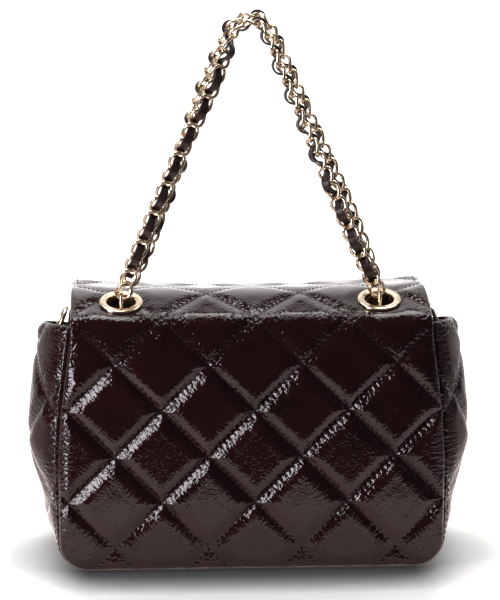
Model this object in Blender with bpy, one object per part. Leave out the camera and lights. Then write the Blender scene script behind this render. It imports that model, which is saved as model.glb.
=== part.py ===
"""Small quilted flap bag with a doubled, ribbon-laced chain handle.

The bag stands on its base with +Z up. Its back panel faces -Y and the flap falls over the front, at +Y.
The leather pieces are cut flat, quilted, and then bent to the section of the bag, as they are when sewn.
Lengths are in metres.
"""
import math

import bmesh
import bpy
from mathutils import Matrix, Vector

# Clearances and tolerances shared by every piece
GAP = 0.0003
OVERRUN = 0.004
WELD = 0.000001

# Bag section, seen from the side: seam line of the outer leather
DEPTH = 0.0713
CREST_HEIGHT = 0.1272
CREST_SETBACK = 0.0080
SHOULDER_DROP = 0.0086
FRONT_EDGE_DROP = 0.0024
FLAP_END_HEIGHT = 0.0430
SHOULDER_RADIUS = 0.0080
CREST_RADIUS = 0.0600
FRONT_EDGE_RADIUS = 0.0100

# Bag outline, seen from the back; the mouth is set down from the crest
MOUTH_DROP = 0.0172
MOUTH_HALF_WIDTH = 0.0826
BASE_HALF_WIDTH = 0.0892
BASE_WIDTH_HEIGHT = 0.0250
CORNER_RADIUS = 0.0140
FLAP_CORNER_RADIUS = 0.0160
PANEL_INSET = 0.0008

# Leather, lining and board thicknesses
BACK_THICKNESS = 0.0030
FRONT_THICKNESS = 0.0025
FLAP_THICKNESS = 0.0022
GUSSET_THICKNESS = 0.0020
LINING_THICKNESS = 0.0008
BOARD_THICKNESS = 0.0016
LINING_INSET = 0.0012

# Diamond quilting
QUILT_WIDTH = 0.0430
QUILT_HEIGHT = 0.0433
QUILT_CELLS = 4
QUILT_NODE_X = -0.0199
QUILT_NODE_DROP = 0.0119
PUFF = 0.0026
FRONT_PUFF = 0.0018
PUFF_EDGE = 0.0045
PUFF_POWER_SHARE = 0.7

# Where the flap folds, and where the leather pieces meet
HINGE_SETBACK = 0.0060
FOLD_RISE = 0.0002

# Gussets
GUSSET_BULGE = 0.0140
GUSSET_END_SETBACK = 0.0182
BULGE_POWER_SHARE = 2.2
BULGE_SHARES = ((0.0, 1.0), (0.42, 1.0), (0.70, 0.45), (0.84, 0.05), (0.90, 0.0), (1.0, 0.0))
GUSSET_COLUMN_SHARES = (0.0, 0.13, 0.28, 0.42, 0.58, 0.72, 0.87, 1.0)
GUSSET_ROW_SHARES = (0.42, 0.52, 0.61, 0.70, 0.77, 0.84)

# Flap clearance over the front panel
FRONT_SETBACK = 0.0068

# Eyelets
EYELET_X = 0.0592
EYELET_Y = -0.0204
EYELET_FLANGE_RADIUS = 0.0100
EYELET_BORE_RADIUS = 0.00665
EYELET_WALL = 0.0006
EYELET_FLANGE = 0.0013
EDGE_ROUND = 0.0005
WASHER_RADIUS = 0.0092
WASHER_THICKNESS = 0.0008
WASHER_SLACK = 0.0009

# Connector links that stand in the eyelets
CONNECTOR_WIRE = 0.0008
CONNECTOR_INNER_RADIUS = 0.0026
CONNECTOR_STRAIGHT = 0.0155
HOOK_RISE = 0.0023

# Rings and the leather tabs that hold them
RING_WIRE = 0.0009
RING_HALF_WIDTH = 0.0063
RING_LENGTH = 0.0142
RING_CORNER = 0.0014
TAB_WIDTH = 0.0090
TAB_LAYER = 0.0010
TAB_LENGTH = 0.0240
GUSSET_RING_DROP = 0.0055
GUSSET_RING_LEAN = math.radians(23)

# Chain
LINK_PITCH = 0.0075
LINK_WIRE = 0.00078
LINK_HALF_WIDTH = 0.00325
LINK_TWIST = math.radians(38)
LINK_FUSE = 0.00038
LINK_PLAY = 0.00020
LINK_SQUARE_SHARE = 0.82
LINK_SEGMENTS = 10
LINK_SIDES = 5
TOP_LINKS = 9
APEX_CORNER_HEIGHT = 0.2678
APEX_RADIUS = 0.0090
STRAND_SPREAD = 0.0044
STRAND_SAMPLES = 400
PITCH_TOLERANCE = 0.0000001

# Laced ribbon
RIBBON_HALF_WIDTH = 0.0017
RIBBON_HOOK_HALF_WIDTH = 0.0021
RIBBON_THICKNESS = 0.0010
RIBBON_WAVE = 0.0028
RIBBON_STEEP = 1.5
RIBBON_START = 1.5
RIBBON_STEPS = 3
RIBBON_PROBE_SHARE = 0.001

# Rows: share of the strand's length; sideways, in link widths; fore and aft, in spreads; quarter turns of roll
FRONT_STRAND_SHARES = (
    (0.00, 0.00, 0.24, 0.00), (0.03, 0.10, 0.70, 0.00), (0.07, 0.20, 1.00, 0.00), (0.25, 0.15, 1.00, 0.05),
    (0.38, -0.15, 1.00, 0.15), (0.48, 0.00, 1.00, 0.80), (0.58, -0.20, 1.00, 0.95), (0.66, -0.20, 1.00, 0.90),
    (0.88, -0.15, 1.00, 0.15), (0.93, -0.10, 1.00, 0.00), (0.97, 0.00, 0.70, 0.00), (1.00, 0.00, 0.24, 0.00))
REAR_STRAND_SHARES = (
    (0.00, 0.00, 0.24, 0.00), (0.03, -0.15, 0.70, 0.00), (0.07, -0.35, 1.00, 0.05), (0.20, -0.25, 1.00, 0.55),
    (0.36, 0.40, 1.00, 0.80), (0.50, 0.25, 1.00, 0.80), (0.65, 0.30, 1.00, 0.65), (0.85, 0.40, 1.00, 0.35),
    (0.93, 0.25, 1.00, 0.10), (0.97, 0.10, 0.70, 0.00), (1.00, 0.00, 0.24, 0.00))

# Magnetic snap
SNAP_HEIGHT = 0.0620
SNAP_RADIUS = 0.0070
SOCKET_THICKNESS = 0.0020
SOCKET_FLOOR = 0.0004
STUD_FLANGE = 0.0009
STUD_RADIUS = 0.0025
SNAP_SHANK_RADIUS = 0.0015
SNAP_WASHER_RADIUS = 0.0055
SNAP_WASHER_THICKNESS = 0.0006
STUD_REACH = 0.0012

# Slip pocket inside the back wall
POCKET_WIDTH = 0.0900
POCKET_HEIGHT = 0.0600
POCKET_DROP = 0.0220
POCKET_SEAM = 0.0030
POCKET_DEPTH = 0.0012
POCKET_THICKNESS = 0.0008

# Facets: largest turn between two facets of a round stretch
BEND_STEP = math.radians(20)
WIRE_BEND_STEP = math.radians(30)
ROUND_SEGMENTS = 24
SMALL_ROUND_SEGMENTS = 14
WIRE_SIDES = 6
SMOOTH_BELOW = math.radians(40)

# Colours as linear values, roughness and metallic
PATENT = ((0.016, 0.0045, 0.0045), 0.16, 0.0)
FACING = ((0.022, 0.007, 0.007), 0.35, 0.0)
LINING = ((0.020, 0.012, 0.012), 0.80, 0.0)
BOARD = ((0.24, 0.20, 0.16), 0.90, 0.0)
GOLD = ((0.80, 0.62, 0.42), 0.18, 1.0)
STEEL = ((0.60, 0.58, 0.55), 0.30, 1.0)
RIBBON = ((0.035, 0.018, 0.016), 0.32, 0.0)


def clear_scene():
    for item in list(bpy.data.objects):
        bpy.data.objects.remove(item, do_unlink=True)


def make_material(name, finish):
    colour, roughness, metallic = finish
    material = bpy.data.materials.new(name)
    material.use_nodes = True
    shader = material.node_tree.nodes["Principled BSDF"]
    shader.inputs["Base Color"].default_value = (*colour, 1.0)
    shader.inputs["Roughness"].default_value = roughness
    shader.inputs["Metallic"].default_value = metallic
    return material


def add_object(name, bm, finish, parent=None, closed=True):
    """Turn a bmesh into an object that keeps its own material, with round faces shaded smooth."""
    if closed:
        bmesh.ops.recalc_face_normals(bm, faces=bm.faces[:])
    mesh = bpy.data.meshes.new(name)
    bm.to_mesh(mesh)
    bm.free()
    mesh.shade_smooth()
    mesh.set_sharp_from_angle(angle=SMOOTH_BELOW)
    mesh.materials.append(make_material(name, finish))
    item = bpy.data.objects.new(name, mesh)
    bpy.context.scene.collection.objects.link(item)
    if parent:
        item.parent = parent
        item.matrix_parent_inverse = parent.matrix_world.inverted()
    return item


def add_pivot(name, place, parent=None):
    pivot = bpy.data.objects.new(name, None)
    bpy.context.scene.collection.objects.link(pivot)
    if parent:
        pivot.parent = parent
        pivot.matrix_parent_inverse = parent.matrix_world.inverted()
    pivot.matrix_world = Matrix.Translation(place)
    bpy.context.view_layer.update()
    return pivot


def add_cutter(name, bm):
    cutter = add_object(name, bm, BOARD)
    cutter.hide_render = True
    cutter.display_type = "WIRE"
    return cutter


def cut(item, cutter):
    boolean = item.modifiers.new(cutter.name, "BOOLEAN")
    boolean.operation = "DIFFERENCE"
    boolean.solver = "EXACT"
    boolean.object = cutter


class Path:
    """Straight runs joined by round fillets in one plane; its left side is the outside of the bag."""

    def __init__(self, corners, radii):
        self.pieces = []
        self.length = 0.0
        start = Vector(corners[0])
        for before, corner, after, radius in zip(corners, corners[1:], corners[2:], radii):
            heading_in = (Vector(corner) - Vector(before)).normalized()
            heading_out = (Vector(after) - Vector(corner)).normalized()
            turn = math.atan2(heading_in.cross(heading_out), heading_in.dot(heading_out))
            trim_back = radius * math.tan(abs(turn) / 2)
            arc_start = Vector(corner) - heading_in * trim_back
            self.add_piece(start, heading_in, (arc_start - start).length, 0.0)
            self.add_piece(arc_start, heading_in, radius * abs(turn), turn)
            start = Vector(corner) + heading_out * trim_back
        last = Vector(corners[-1])
        self.add_piece(start, (last - start).normalized(), (last - start).length, 0.0)

    def add_piece(self, start, heading, length, turn):
        self.pieces.append((self.length, start, math.atan2(heading.y, heading.x), length, turn))
        self.length += length

    def at(self, distance):
        """Point on the path and the direction to its outer side."""
        for begin, start, angle, length, turn in self.pieces:
            if distance <= begin + length:
                break
        along = distance - begin
        if turn:
            radius = length / turn
            centre = start + radius * Vector((-math.sin(angle), math.cos(angle)))
            angle += along / radius
            outer = Vector((-math.sin(angle), math.cos(angle)))
            return centre - radius * outer, outer
        heading = Vector((math.cos(angle), math.sin(angle)))
        return start + heading * along, Vector((-heading.y, heading.x))

    def find(self, test):
        """Distance at which the test on the point turns true."""
        low, high = 0.0, self.length
        while high - low > WELD:
            middle = (low + high) / 2
            if test(self.at(middle)[0]):
                high = middle
            else:
                low = middle
        return high

    def last_fillet_middle(self):
        begin, _, _, length, _ = self.pieces[-2]
        return begin + length / 2

    def facets(self, bend_step=BEND_STEP):
        """Ends of each straight stretch and of each short facet of a fillet."""
        for begin, _, _, length, turn in self.pieces:
            steps = max(1, math.ceil(abs(turn) / bend_step))
            for step in range(steps):
                yield begin + length * step / steps, begin + length * (step + 1) / steps

    def bends(self, low, high):
        """Distances at which a flat piece is scored so that it bends round the fillets."""
        return [start for start, _ in self.facets() if low + GAP < start < high - GAP]

    def edges(self, inset=0.0):
        """A point on each facet, its outer direction, and whether it is a whole straight side."""
        straights = {begin for begin, _, _, _, turn in self.pieces if not turn}
        for start, end in self.facets():
            point, outer = self.at((start + end) / 2)
            yield point - outer * inset, outer, start in straights


HALF_DEPTH = DEPTH / 2
FRONT_Y = HALF_DEPTH - FRONT_SETBACK
MOUTH_HEIGHT = CREST_HEIGHT - MOUTH_DROP
QUILT_NODE_HEIGHT = MOUTH_HEIGHT - QUILT_NODE_DROP
POCKET_TOP = MOUTH_HEIGHT - POCKET_DROP
GUSSET_END_X = BASE_HALF_WIDTH - GUSSET_END_SETBACK

SECTION = Path(
    ((-HALF_DEPTH, 0.0), (-HALF_DEPTH, CREST_HEIGHT - SHOULDER_DROP), (-CREST_SETBACK, CREST_HEIGHT),
     (HALF_DEPTH, CREST_HEIGHT - FRONT_EDGE_DROP), (HALF_DEPTH, FLAP_END_HEIGHT)),
    (SHOULDER_RADIUS, CREST_RADIUS, FRONT_EDGE_RADIUS))

MOUTH_RUN = SECTION.find(lambda point: point.y > MOUTH_HEIGHT)
EYELET_RUN = SECTION.find(lambda point: point.x > EYELET_Y)
HINGE_RUN = SECTION.find(lambda point: point.x > -HINGE_SETBACK)
FOLD_RUN = SECTION.last_fillet_middle()


SIDE_SLOPE = (BASE_HALF_WIDTH - MOUTH_HALF_WIDTH) / (MOUTH_HEIGHT - BASE_WIDTH_HEIGHT)
FOOT_HALF_WIDTH = BASE_HALF_WIDTH + BASE_WIDTH_HEIGHT * SIDE_SLOPE


OUTLINE = Path(
    ((MOUTH_HALF_WIDTH, MOUTH_HEIGHT), (FOOT_HALF_WIDTH, 0.0),
     (-FOOT_HALF_WIDTH, 0.0), (-MOUTH_HALF_WIDTH, MOUTH_HEIGHT)),
    (CORNER_RADIUS, CORNER_RADIUS))

FLAP_HALF_WIDTH = MOUTH_HALF_WIDTH - PANEL_INSET
FLAP_OUTLINE = Path(
    ((-FLAP_HALF_WIDTH, FOLD_RUN), (-FLAP_HALF_WIDTH, SECTION.length),
     (FLAP_HALF_WIDTH, SECTION.length), (FLAP_HALF_WIDTH, FOLD_RUN)),
    (FLAP_CORNER_RADIUS, FLAP_CORNER_RADIUS))

# Gusset strip: it follows the outline down a side and round the corner, between the two panels
STRIP_BACK_Y = -HALF_DEPTH + BACK_THICKNESS + GAP
STRIP_FRONT_Y = FRONT_Y - FRONT_THICKNESS - GAP
STRIP_MIDDLE_Y = (STRIP_BACK_Y + STRIP_FRONT_Y) / 2
STRIP_HALF_DEPTH = (STRIP_FRONT_Y - STRIP_BACK_Y) / 2
GUSSET_RUN = OUTLINE.find(lambda point: point.x < GUSSET_END_X)

BACK_QUILT = (QUILT_NODE_X, QUILT_NODE_HEIGHT, QUILT_WIDTH, QUILT_HEIGHT, PUFF)
FRONT_QUILT = (0.0, QUILT_NODE_HEIGHT, QUILT_WIDTH, QUILT_HEIGHT, FRONT_PUFF)
GUSSET_QUILT = (STRIP_MIDDLE_Y, QUILT_NODE_DROP, QUILT_WIDTH, QUILT_HEIGHT, PUFF)


def smooth_table(table, share):
    """Values read smoothly from a table whose rows start with a share."""
    for row, following in zip(table, table[1:]):
        if share <= following[0]:
            break
    part = min(max((share - row[0]) / (following[0] - row[0]), 0.0), 1.0)
    part = part * part * (3 - 2 * part)
    return [start + (end - start) * part for start, end in zip(row[1:], following[1:])]


# Flat pattern pieces: u runs across, v along, and the outside faces up

def puff_share(column, row):
    """How far a quilted diamond stands up at a corner of its grid of cells."""
    seams = column + row, column - row
    rise = min(min(place % QUILT_CELLS, -place % QUILT_CELLS) for place in seams)
    return math.sin(math.pi * rise / QUILT_CELLS) ** PUFF_POWER_SHARE


def quilted_sheet(low, high, quilt):
    """A sheet of quilted diamonds whose seams run along the diagonals of a square grid."""
    node_u, node_v, width, height, puff = quilt
    cell_u, cell_v = width / QUILT_CELLS, height / QUILT_CELLS
    first = math.floor((low[0] - node_u) / cell_u), math.floor((low[1] - node_v) / cell_v)
    columns = math.ceil((high[0] - node_u) / cell_u) - first[0]
    rows = math.ceil((high[1] - node_v) / cell_v) - first[1]
    bm = bmesh.new()
    bmesh.ops.create_grid(bm, x_segments=columns, y_segments=rows, size=1.0)
    places = {}
    for vert in bm.verts:
        column = round((vert.co.x + 1) / 2 * columns) + first[0]
        row = round((vert.co.y + 1) / 2 * rows) + first[1]
        places[vert] = column, row
        vert.co = node_u + column * cell_u, node_v + row * cell_v, puff * puff_share(column, row)
    for face in bm.faces[:]:
        corners = sorted(face.verts, key=places.get)
        column, row = places[corners[0]]
        ends = (corners[0], corners[3]) if (column - row) % 2 == 0 else (corners[1], corners[2])
        bmesh.utils.face_split(face, *ends)
    return bm


def flat_piece(low, high, thickness, quilt=None, fitted_back=False):
    """A closed flat piece; a fitted back repeats the outer face, for a piece that curves both ways."""
    if quilt:
        bm = quilted_sheet(low, high, quilt)
    else:
        bm = bmesh.new()
        bmesh.ops.create_grid(bm, x_segments=1, y_segments=1, size=1.0)
        middle = [(start + end) / 2 for start, end in zip(low, high)]
        half = [(end - start) / 2 for start, end in zip(low, high)]
        for vert in bm.verts:
            vert.co = middle[0] + vert.co.x * half[0], middle[1] + vert.co.y * half[1], 0.0
    if fitted_back or not quilt:
        made = bmesh.ops.extrude_face_region(bm, geom=bm.faces[:], use_keep_orig=True)["geom"]
        under = [item for item in made if isinstance(item, bmesh.types.BMVert)]
    else:
        rim = [edge for edge in bm.edges if edge.is_boundary]
        made = bmesh.ops.extrude_edge_only(bm, edges=rim)["geom"]
        under = [item for item in made if isinstance(item, bmesh.types.BMVert)]
        bmesh.ops.contextual_create(bm, geom=[item for item in made if isinstance(item, bmesh.types.BMEdge)
                                              and all(vert in under for vert in item.verts)])
    for vert in under:
        vert.co.z = -thickness
    bmesh.ops.recalc_face_normals(bm, faces=bm.faces[:])
    return bm


def score(bm, point, direction):
    """Divide the faces along a straight line, so that the piece can bend there."""
    bmesh.ops.bisect_plane(bm, geom=bm.verts[:] + bm.edges[:] + bm.faces[:], dist=WELD,
                           plane_co=(*point, 0.0), plane_no=(*direction, 0.0))


def trim(bm, point, outer):
    """Cut the piece off along a line and close the cut."""
    made = bmesh.ops.bisect_plane(bm, geom=bm.verts[:] + bm.edges[:] + bm.faces[:], dist=WELD,
                                  plane_co=(*point, 0.0), plane_no=(*outer, 0.0), clear_outer=True)
    rim = [item for item in made["geom_cut"] if isinstance(item, bmesh.types.BMEdge) and item.is_boundary]
    if rim:
        bmesh.ops.contextual_create(bm, geom=rim)


def cut_to_outline(bm, edges, sewn=True):
    """Cut the piece to its edges; quilting is pressed down toward a sewn edge."""
    edges = list(edges)
    for point, outer, straight in edges:
        if sewn and straight:
            score(bm, point - outer * PUFF_EDGE, outer)
        trim(bm, point, outer)
    for vert in bm.verts:
        if sewn and vert.co.z > 0:
            reach = min((point - vert.co.xy).dot(outer) for point, outer, _ in edges)
            vert.co.z *= min(max(reach / PUFF_EDGE, 0.0), 1.0)


def triangulate_all(bm):
    """Triangles throughout; a rim face with points along its sides is fanned from its middle."""
    bmesh.ops.poke(bm, faces=[face for face in bm.faces if len(face.verts) > 4])
    bmesh.ops.triangulate(bm, faces=bm.faces[:])


def bend_to_section(bm, depth=0.0):
    """Bend a flat piece to the section of the bag, at a depth under the outer seam line."""
    for vert in bm.verts:
        point, outer = SECTION.at(vert.co.y)
        point = point + outer * (vert.co.z - depth)
        vert.co = vert.co.x, point.x, point.y
    triangulate_all(bm)


def across(run, way=1):
    """Edge across the flat pattern at a distance along the section."""
    return Vector((0.0, run)), Vector((0.0, way)), True


def side_edges(half_width):
    return [(Vector((side * half_width, 0.0)), Vector((side, 0.0)), True) for side in (1, -1)]


def score_bends(bm, path, start, end):
    for run in path.bends(start, end):
        score(bm, *across(run)[:2])


def section_piece(start, end, half_width, thickness, quilt=None, depth=0.0):
    """A piece of constant width between two distances along the section, bent to shape."""
    bm = flat_piece((-half_width, start), (half_width, end), thickness, quilt)
    if quilt:
        cut_to_outline(bm, [across(start, -1), across(end)] + side_edges(half_width))
    score_bends(bm, SECTION, start, end)
    bend_to_section(bm, depth)
    return bm


def make_back_panel():
    bm = flat_piece((-BASE_HALF_WIDTH, 0.0), (BASE_HALF_WIDTH, MOUTH_RUN), BACK_THICKNESS, BACK_QUILT)
    trim(bm, *across(MOUTH_RUN - GAP / 2)[:2])
    cut_to_outline(bm, OUTLINE.edges(PANEL_INSET))
    bend_to_section(bm)
    return add_object("back_panel", bm, PATENT)


def make_shoulder_panel():
    """The upper back and the shoulder, quilted on from the back panel up to the flap's fold."""
    start, end = MOUTH_RUN + GAP / 2, HINGE_RUN - GAP / 2
    bm = flat_piece((-FLAP_HALF_WIDTH, start), (FLAP_HALF_WIDTH, end), BACK_THICKNESS, BACK_QUILT)
    trim(bm, *across(start, -1)[:2])
    cut_to_outline(bm, [across(end)] + side_edges(FLAP_HALF_WIDTH))
    score_bends(bm, SECTION, start, end)
    bend_to_section(bm)
    return add_object("shoulder_panel", bm, PATENT)


def make_shoulder_lining():
    bm = section_piece(MOUTH_RUN + GAP / 2, HINGE_RUN - GAP / 2, FLAP_HALF_WIDTH - LINING_INSET,
                       LINING_THICKNESS, depth=BACK_THICKNESS + GAP)
    return add_object("shoulder_lining", bm, FACING)


def make_front_panel():
    """The front panel stands behind the flap's drop, on the same outline as the back."""
    bm = flat_piece((-BASE_HALF_WIDTH, 0.0), (BASE_HALF_WIDTH, MOUTH_HEIGHT), FRONT_THICKNESS, FRONT_QUILT)
    cut_to_outline(bm, [across(MOUTH_HEIGHT)] + list(OUTLINE.edges(PANEL_INSET)))
    for vert in bm.verts:
        vert.co = vert.co.x, FRONT_Y + vert.co.z, vert.co.y
    triangulate_all(bm)
    return add_object("front_panel", bm, PATENT)


def bulge_share(run):
    return smooth_table(BULGE_SHARES, run / GUSSET_RUN)[0]


def gusset_point(run, y, rise, side, square=False):
    """Place on a gusset that bulges out between its sewn edges; rise is measured square to the leather,
    or straight out from the outline where it is said to be square."""
    point, outer = OUTLINE.at(run)
    place = (y - STRIP_MIDDLE_Y) / STRIP_HALF_DEPTH
    bulge = GUSSET_BULGE * bulge_share(run)
    slope = bulge * BULGE_POWER_SHARE * abs(place) ** (BULGE_POWER_SHARE - 1) / STRIP_HALF_DEPTH
    slope = math.atan(math.copysign(slope, place))
    out = bulge * (1 - abs(place) ** BULGE_POWER_SHARE)
    if square:
        point = point + outer * (out + rise / math.cos(slope))
        return Vector((side * point.x, y, point.y))
    point = point + outer * (out + rise * math.cos(slope))
    return Vector((side * point.x, y + rise * math.sin(slope), point.y))


def make_gusset(name, side):
    """A quilted strip from the mouth down the side and round the corner to the bottom panel."""
    bm = flat_piece((STRIP_BACK_Y, 0.0), (STRIP_FRONT_Y, GUSSET_RUN), GUSSET_THICKNESS, GUSSET_QUILT,
                    fitted_back=True)
    sides = [(Vector((STRIP_BACK_Y, 0.0)), Vector((-1.0, 0.0)), True),
             (Vector((STRIP_FRONT_Y, 0.0)), Vector((1.0, 0.0)), True)]
    cut_to_outline(bm, sides + [across(0.0, -1), across(GUSSET_RUN)])
    score_bends(bm, OUTLINE, 0.0, GUSSET_RUN)
    for vert in bm.verts:
        run = vert.co.y
        rise = vert.co.z * bulge_share(run) if vert.co.z > 0 else vert.co.z
        vert.co = gusset_point(run, vert.co.x, rise, side)
    triangulate_all(bm)
    return add_object(name, bm, PATENT)


def make_bottom_panel():
    end = GUSSET_END_X - GAP
    bm = box((-end, STRIP_BACK_Y, 0.0), (end, STRIP_FRONT_Y, GUSSET_THICKNESS))
    return add_object("bottom_panel", bm, PATENT)


def make_base_board():
    low = (-GUSSET_END_X, STRIP_BACK_Y + LINING_INSET, GUSSET_THICKNESS + GAP)
    high = (GUSSET_END_X, STRIP_FRONT_Y - LINING_INSET, GUSSET_THICKNESS + GAP + BOARD_THICKNESS)
    return add_object("base_board", box(low, high), BOARD)


def box(low, high):
    bm = bmesh.new()
    bmesh.ops.create_cube(bm, size=1.0)
    size = Vector(high) - Vector(low)
    middle = (Vector(high) + Vector(low)) / 2
    stretch = Matrix.Translation(middle) @ Matrix.Diagonal((*size, 1.0))
    bmesh.ops.transform(bm, matrix=stretch, verts=bm.verts[:])
    return bm


POUCH_GAP = 3 * GAP
POUCH_FLOOR = GUSSET_THICKNESS + GAP + BOARD_THICKNESS + GAP
POUCH_TOP = MOUTH_HEIGHT - LINING_INSET


def pouch_point(run, y, rise):
    """Place on the lining's outer face, which follows the gussets and lies on the base board."""
    mirrored = run > OUTLINE.length / 2
    run = OUTLINE.length - run if mirrored else run
    side = -1 if mirrored else 1
    run = min(run, OUTLINE.length / 2)
    place = gusset_point(run, y, rise - GUSSET_THICKNESS - POUCH_GAP, side, square=True)
    place.z = max(place.z, POUCH_FLOOR)
    return place


def make_interior_lining():
    """An open-topped pouch that lines the whole inside of the bag."""
    start = OUTLINE.find(lambda point: point.y < POUCH_TOP)
    end = OUTLINE.length - start
    columns = len(GUSSET_COLUMN_SHARES) - 1
    runs = [start] + [run for run in OUTLINE.bends(start, end)] + [end]
    for share in GUSSET_ROW_SHARES:
        runs += [share * GUSSET_RUN, OUTLINE.length - share * GUSSET_RUN]
    runs = sorted(runs)
    low, high = STRIP_BACK_Y, STRIP_FRONT_Y
    bm = bmesh.new()
    bmesh.ops.create_grid(bm, x_segments=columns, y_segments=len(runs) - 1, size=1.0)
    for vert in bm.verts:
        column = round((vert.co.x + 1) / 2 * columns)
        y = low + (high - low) * GUSSET_COLUMN_SHARES[column]
        run = runs[round((vert.co.y + 1) / 2 * (len(runs) - 1))]
        vert.co = pouch_point(run, y, 0.0)
    for y in (low, high):
        wall = [edge for edge in bm.edges if all(abs(vert.co.y - y) < WELD for vert in edge.verts)]
        closing = bmesh.ops.contextual_create(bm, geom=wall)
        bmesh.ops.triangulate(bm, faces=closing["faces"])
    bmesh.ops.recalc_face_normals(bm, faces=bm.faces[:])
    floor = min(bm.faces, key=lambda face: face.calc_center_median().z)
    if floor.normal.z > 0:
        bmesh.ops.reverse_faces(bm, faces=bm.faces[:])
    lining = add_object("interior_lining", bm, LINING, closed=False)
    solidify = lining.modifiers.new("wall", "SOLIDIFY")
    solidify.thickness = LINING_THICKNESS
    solidify.offset = -1
    solidify.use_even_offset = True


def place_on_section(x, run):
    """Frame on the leather at a distance along the section: its Z axis points out of the bag."""
    point, outer = SECTION.at(run)
    out = Vector((0.0, outer.x, outer.y))
    sideways = Vector((1.0, 0.0, 0.0))
    frame = Matrix((sideways, out.cross(sideways), out)).transposed().to_4x4()
    return Matrix.Translation((x, point.x, point.y)) @ frame


def facing_front(x, y, height):
    """Frame on a face that looks to the front, +Y."""
    return Matrix.Translation((x, y, height)) @ Matrix.Rotation(-math.pi / 2, 4, "X")


def turned(profile, segments=ROUND_SEGMENTS):
    """A closed outline of radii and heights turned once round the Z axis."""
    bm = bmesh.new()
    verts = [bm.verts.new((radius, 0.0, height)) for radius, height in profile]
    on_axis = profile[0][0] == 0 and profile[-1][0] == 0
    pairs = list(zip(verts, verts[1:])) + ([] if on_axis else [(verts[-1], verts[0])])
    edges = [bm.edges.new(pair) for pair in pairs]
    bmesh.ops.spin(bm, geom=verts + edges, cent=(0.0, 0.0, 0.0), axis=(0.0, 0.0, 1.0), angle=2 * math.pi,
                   steps=segments, use_merge=True)
    bmesh.ops.remove_doubles(bm, verts=bm.verts[:], dist=WELD)
    return bm


def placed(bm, frame):
    bmesh.ops.transform(bm, matrix=frame, verts=bm.verts[:])
    return bm


def lofted(stations, closed):
    """Rings of points joined in order into one closed skin."""
    bm = bmesh.new()
    rings = [[bm.verts.new(point) for point in station] for station in stations]
    following = rings[1:] + rings[:1] if closed else rings[1:]
    for ring, onward in zip(rings, following):
        for first in range(len(ring)):
            second = (first + 1) % len(ring)
            bm.faces.new((ring[first], ring[second], onward[second], onward[first]))
    if not closed:
        bm.faces.new(rings[0])
        bm.faces.new(rings[-1])
    return bm


def wire(centres, ups, radius, sides=WIRE_SIDES):
    """Round wire bent along a closed line; each up direction keeps its facets from twisting."""
    stations = []
    count = len(centres)
    for index, (centre, up) in enumerate(zip(centres, ups)):
        heading = (centres[(index + 1) % count] - centres[index - 1]).normalized()
        up = (up - heading * up.dot(heading)).normalized()
        side = heading.cross(up)
        turn = 2 * math.pi / sides
        stations.append([centre + radius * (math.cos(turn * step) * side + math.sin(turn * step) * up)
                         for step in range(sides)])
    return lofted(stations, closed=True)


def flat_wire(corners, radii, radius):
    """Wire bent in its local XY plane along a closed outline with rounded corners."""
    path = Path(corners, radii)
    centres = [path.at(start)[0].to_3d() for start, end in path.facets(WIRE_BEND_STEP) if end - start > WELD]
    return wire(centres, [Vector((0.0, 0.0, 1.0))] * len(centres), radius)


EYELET_DEPTH = BACK_THICKNESS + GAP + LINING_THICKNESS + WASHER_SLACK + WASHER_THICKNESS
EYELET_OUTER_BORE = EYELET_BORE_RADIUS + EYELET_WALL


def make_eyelet(name, side, panel, lining):
    """A metal eyelet pressed into the quilting, its barrel through the leather and the lining."""
    frame = place_on_section(side * EYELET_X, EYELET_RUN)
    top = EYELET_FLANGE
    eyelet = turned((
        (EYELET_FLANGE_RADIUS, 0.0), (EYELET_FLANGE_RADIUS, top - EDGE_ROUND),
        (EYELET_FLANGE_RADIUS - EDGE_ROUND, top), (EYELET_OUTER_BORE, top),
        (EYELET_BORE_RADIUS, top - EDGE_ROUND), (EYELET_BORE_RADIUS, -EYELET_DEPTH),
        (EYELET_OUTER_BORE, -EYELET_DEPTH), (EYELET_OUTER_BORE, 0.0)))
    hole = EYELET_OUTER_BORE + GAP
    seat = turned((
        (0.0, -EYELET_DEPTH - OVERRUN), (hole, -EYELET_DEPTH - OVERRUN), (hole, -GAP),
        (EYELET_FLANGE_RADIUS + GAP, -GAP), (EYELET_FLANGE_RADIUS + GAP, OVERRUN), (0.0, OVERRUN)))
    cutter = add_cutter(name + "_hole", placed(seat, frame))
    cut(panel, cutter)
    cut(lining, cutter)
    return add_object(name, placed(eyelet, frame), GOLD)


def make_washer(name, side):
    """The flat washer that holds the eyelet from inside the bag."""
    top = -EYELET_DEPTH + WASHER_THICKNESS
    inner = EYELET_OUTER_BORE + GAP
    low = -EYELET_DEPTH
    washer = turned(((inner, top), (inner, low), (WASHER_RADIUS, low), (WASHER_RADIUS, top)))
    return add_object(name, placed(washer, place_on_section(side * EYELET_X, EYELET_RUN)), GOLD)


HOOK_HEIGHT = SECTION.at(EYELET_RUN)[0].y + HOOK_RISE
CONNECTOR_RADIUS = CONNECTOR_INNER_RADIUS + CONNECTOR_WIRE
CONNECTOR_LOW = HOOK_HEIGHT - CONNECTOR_STRAIGHT


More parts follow.
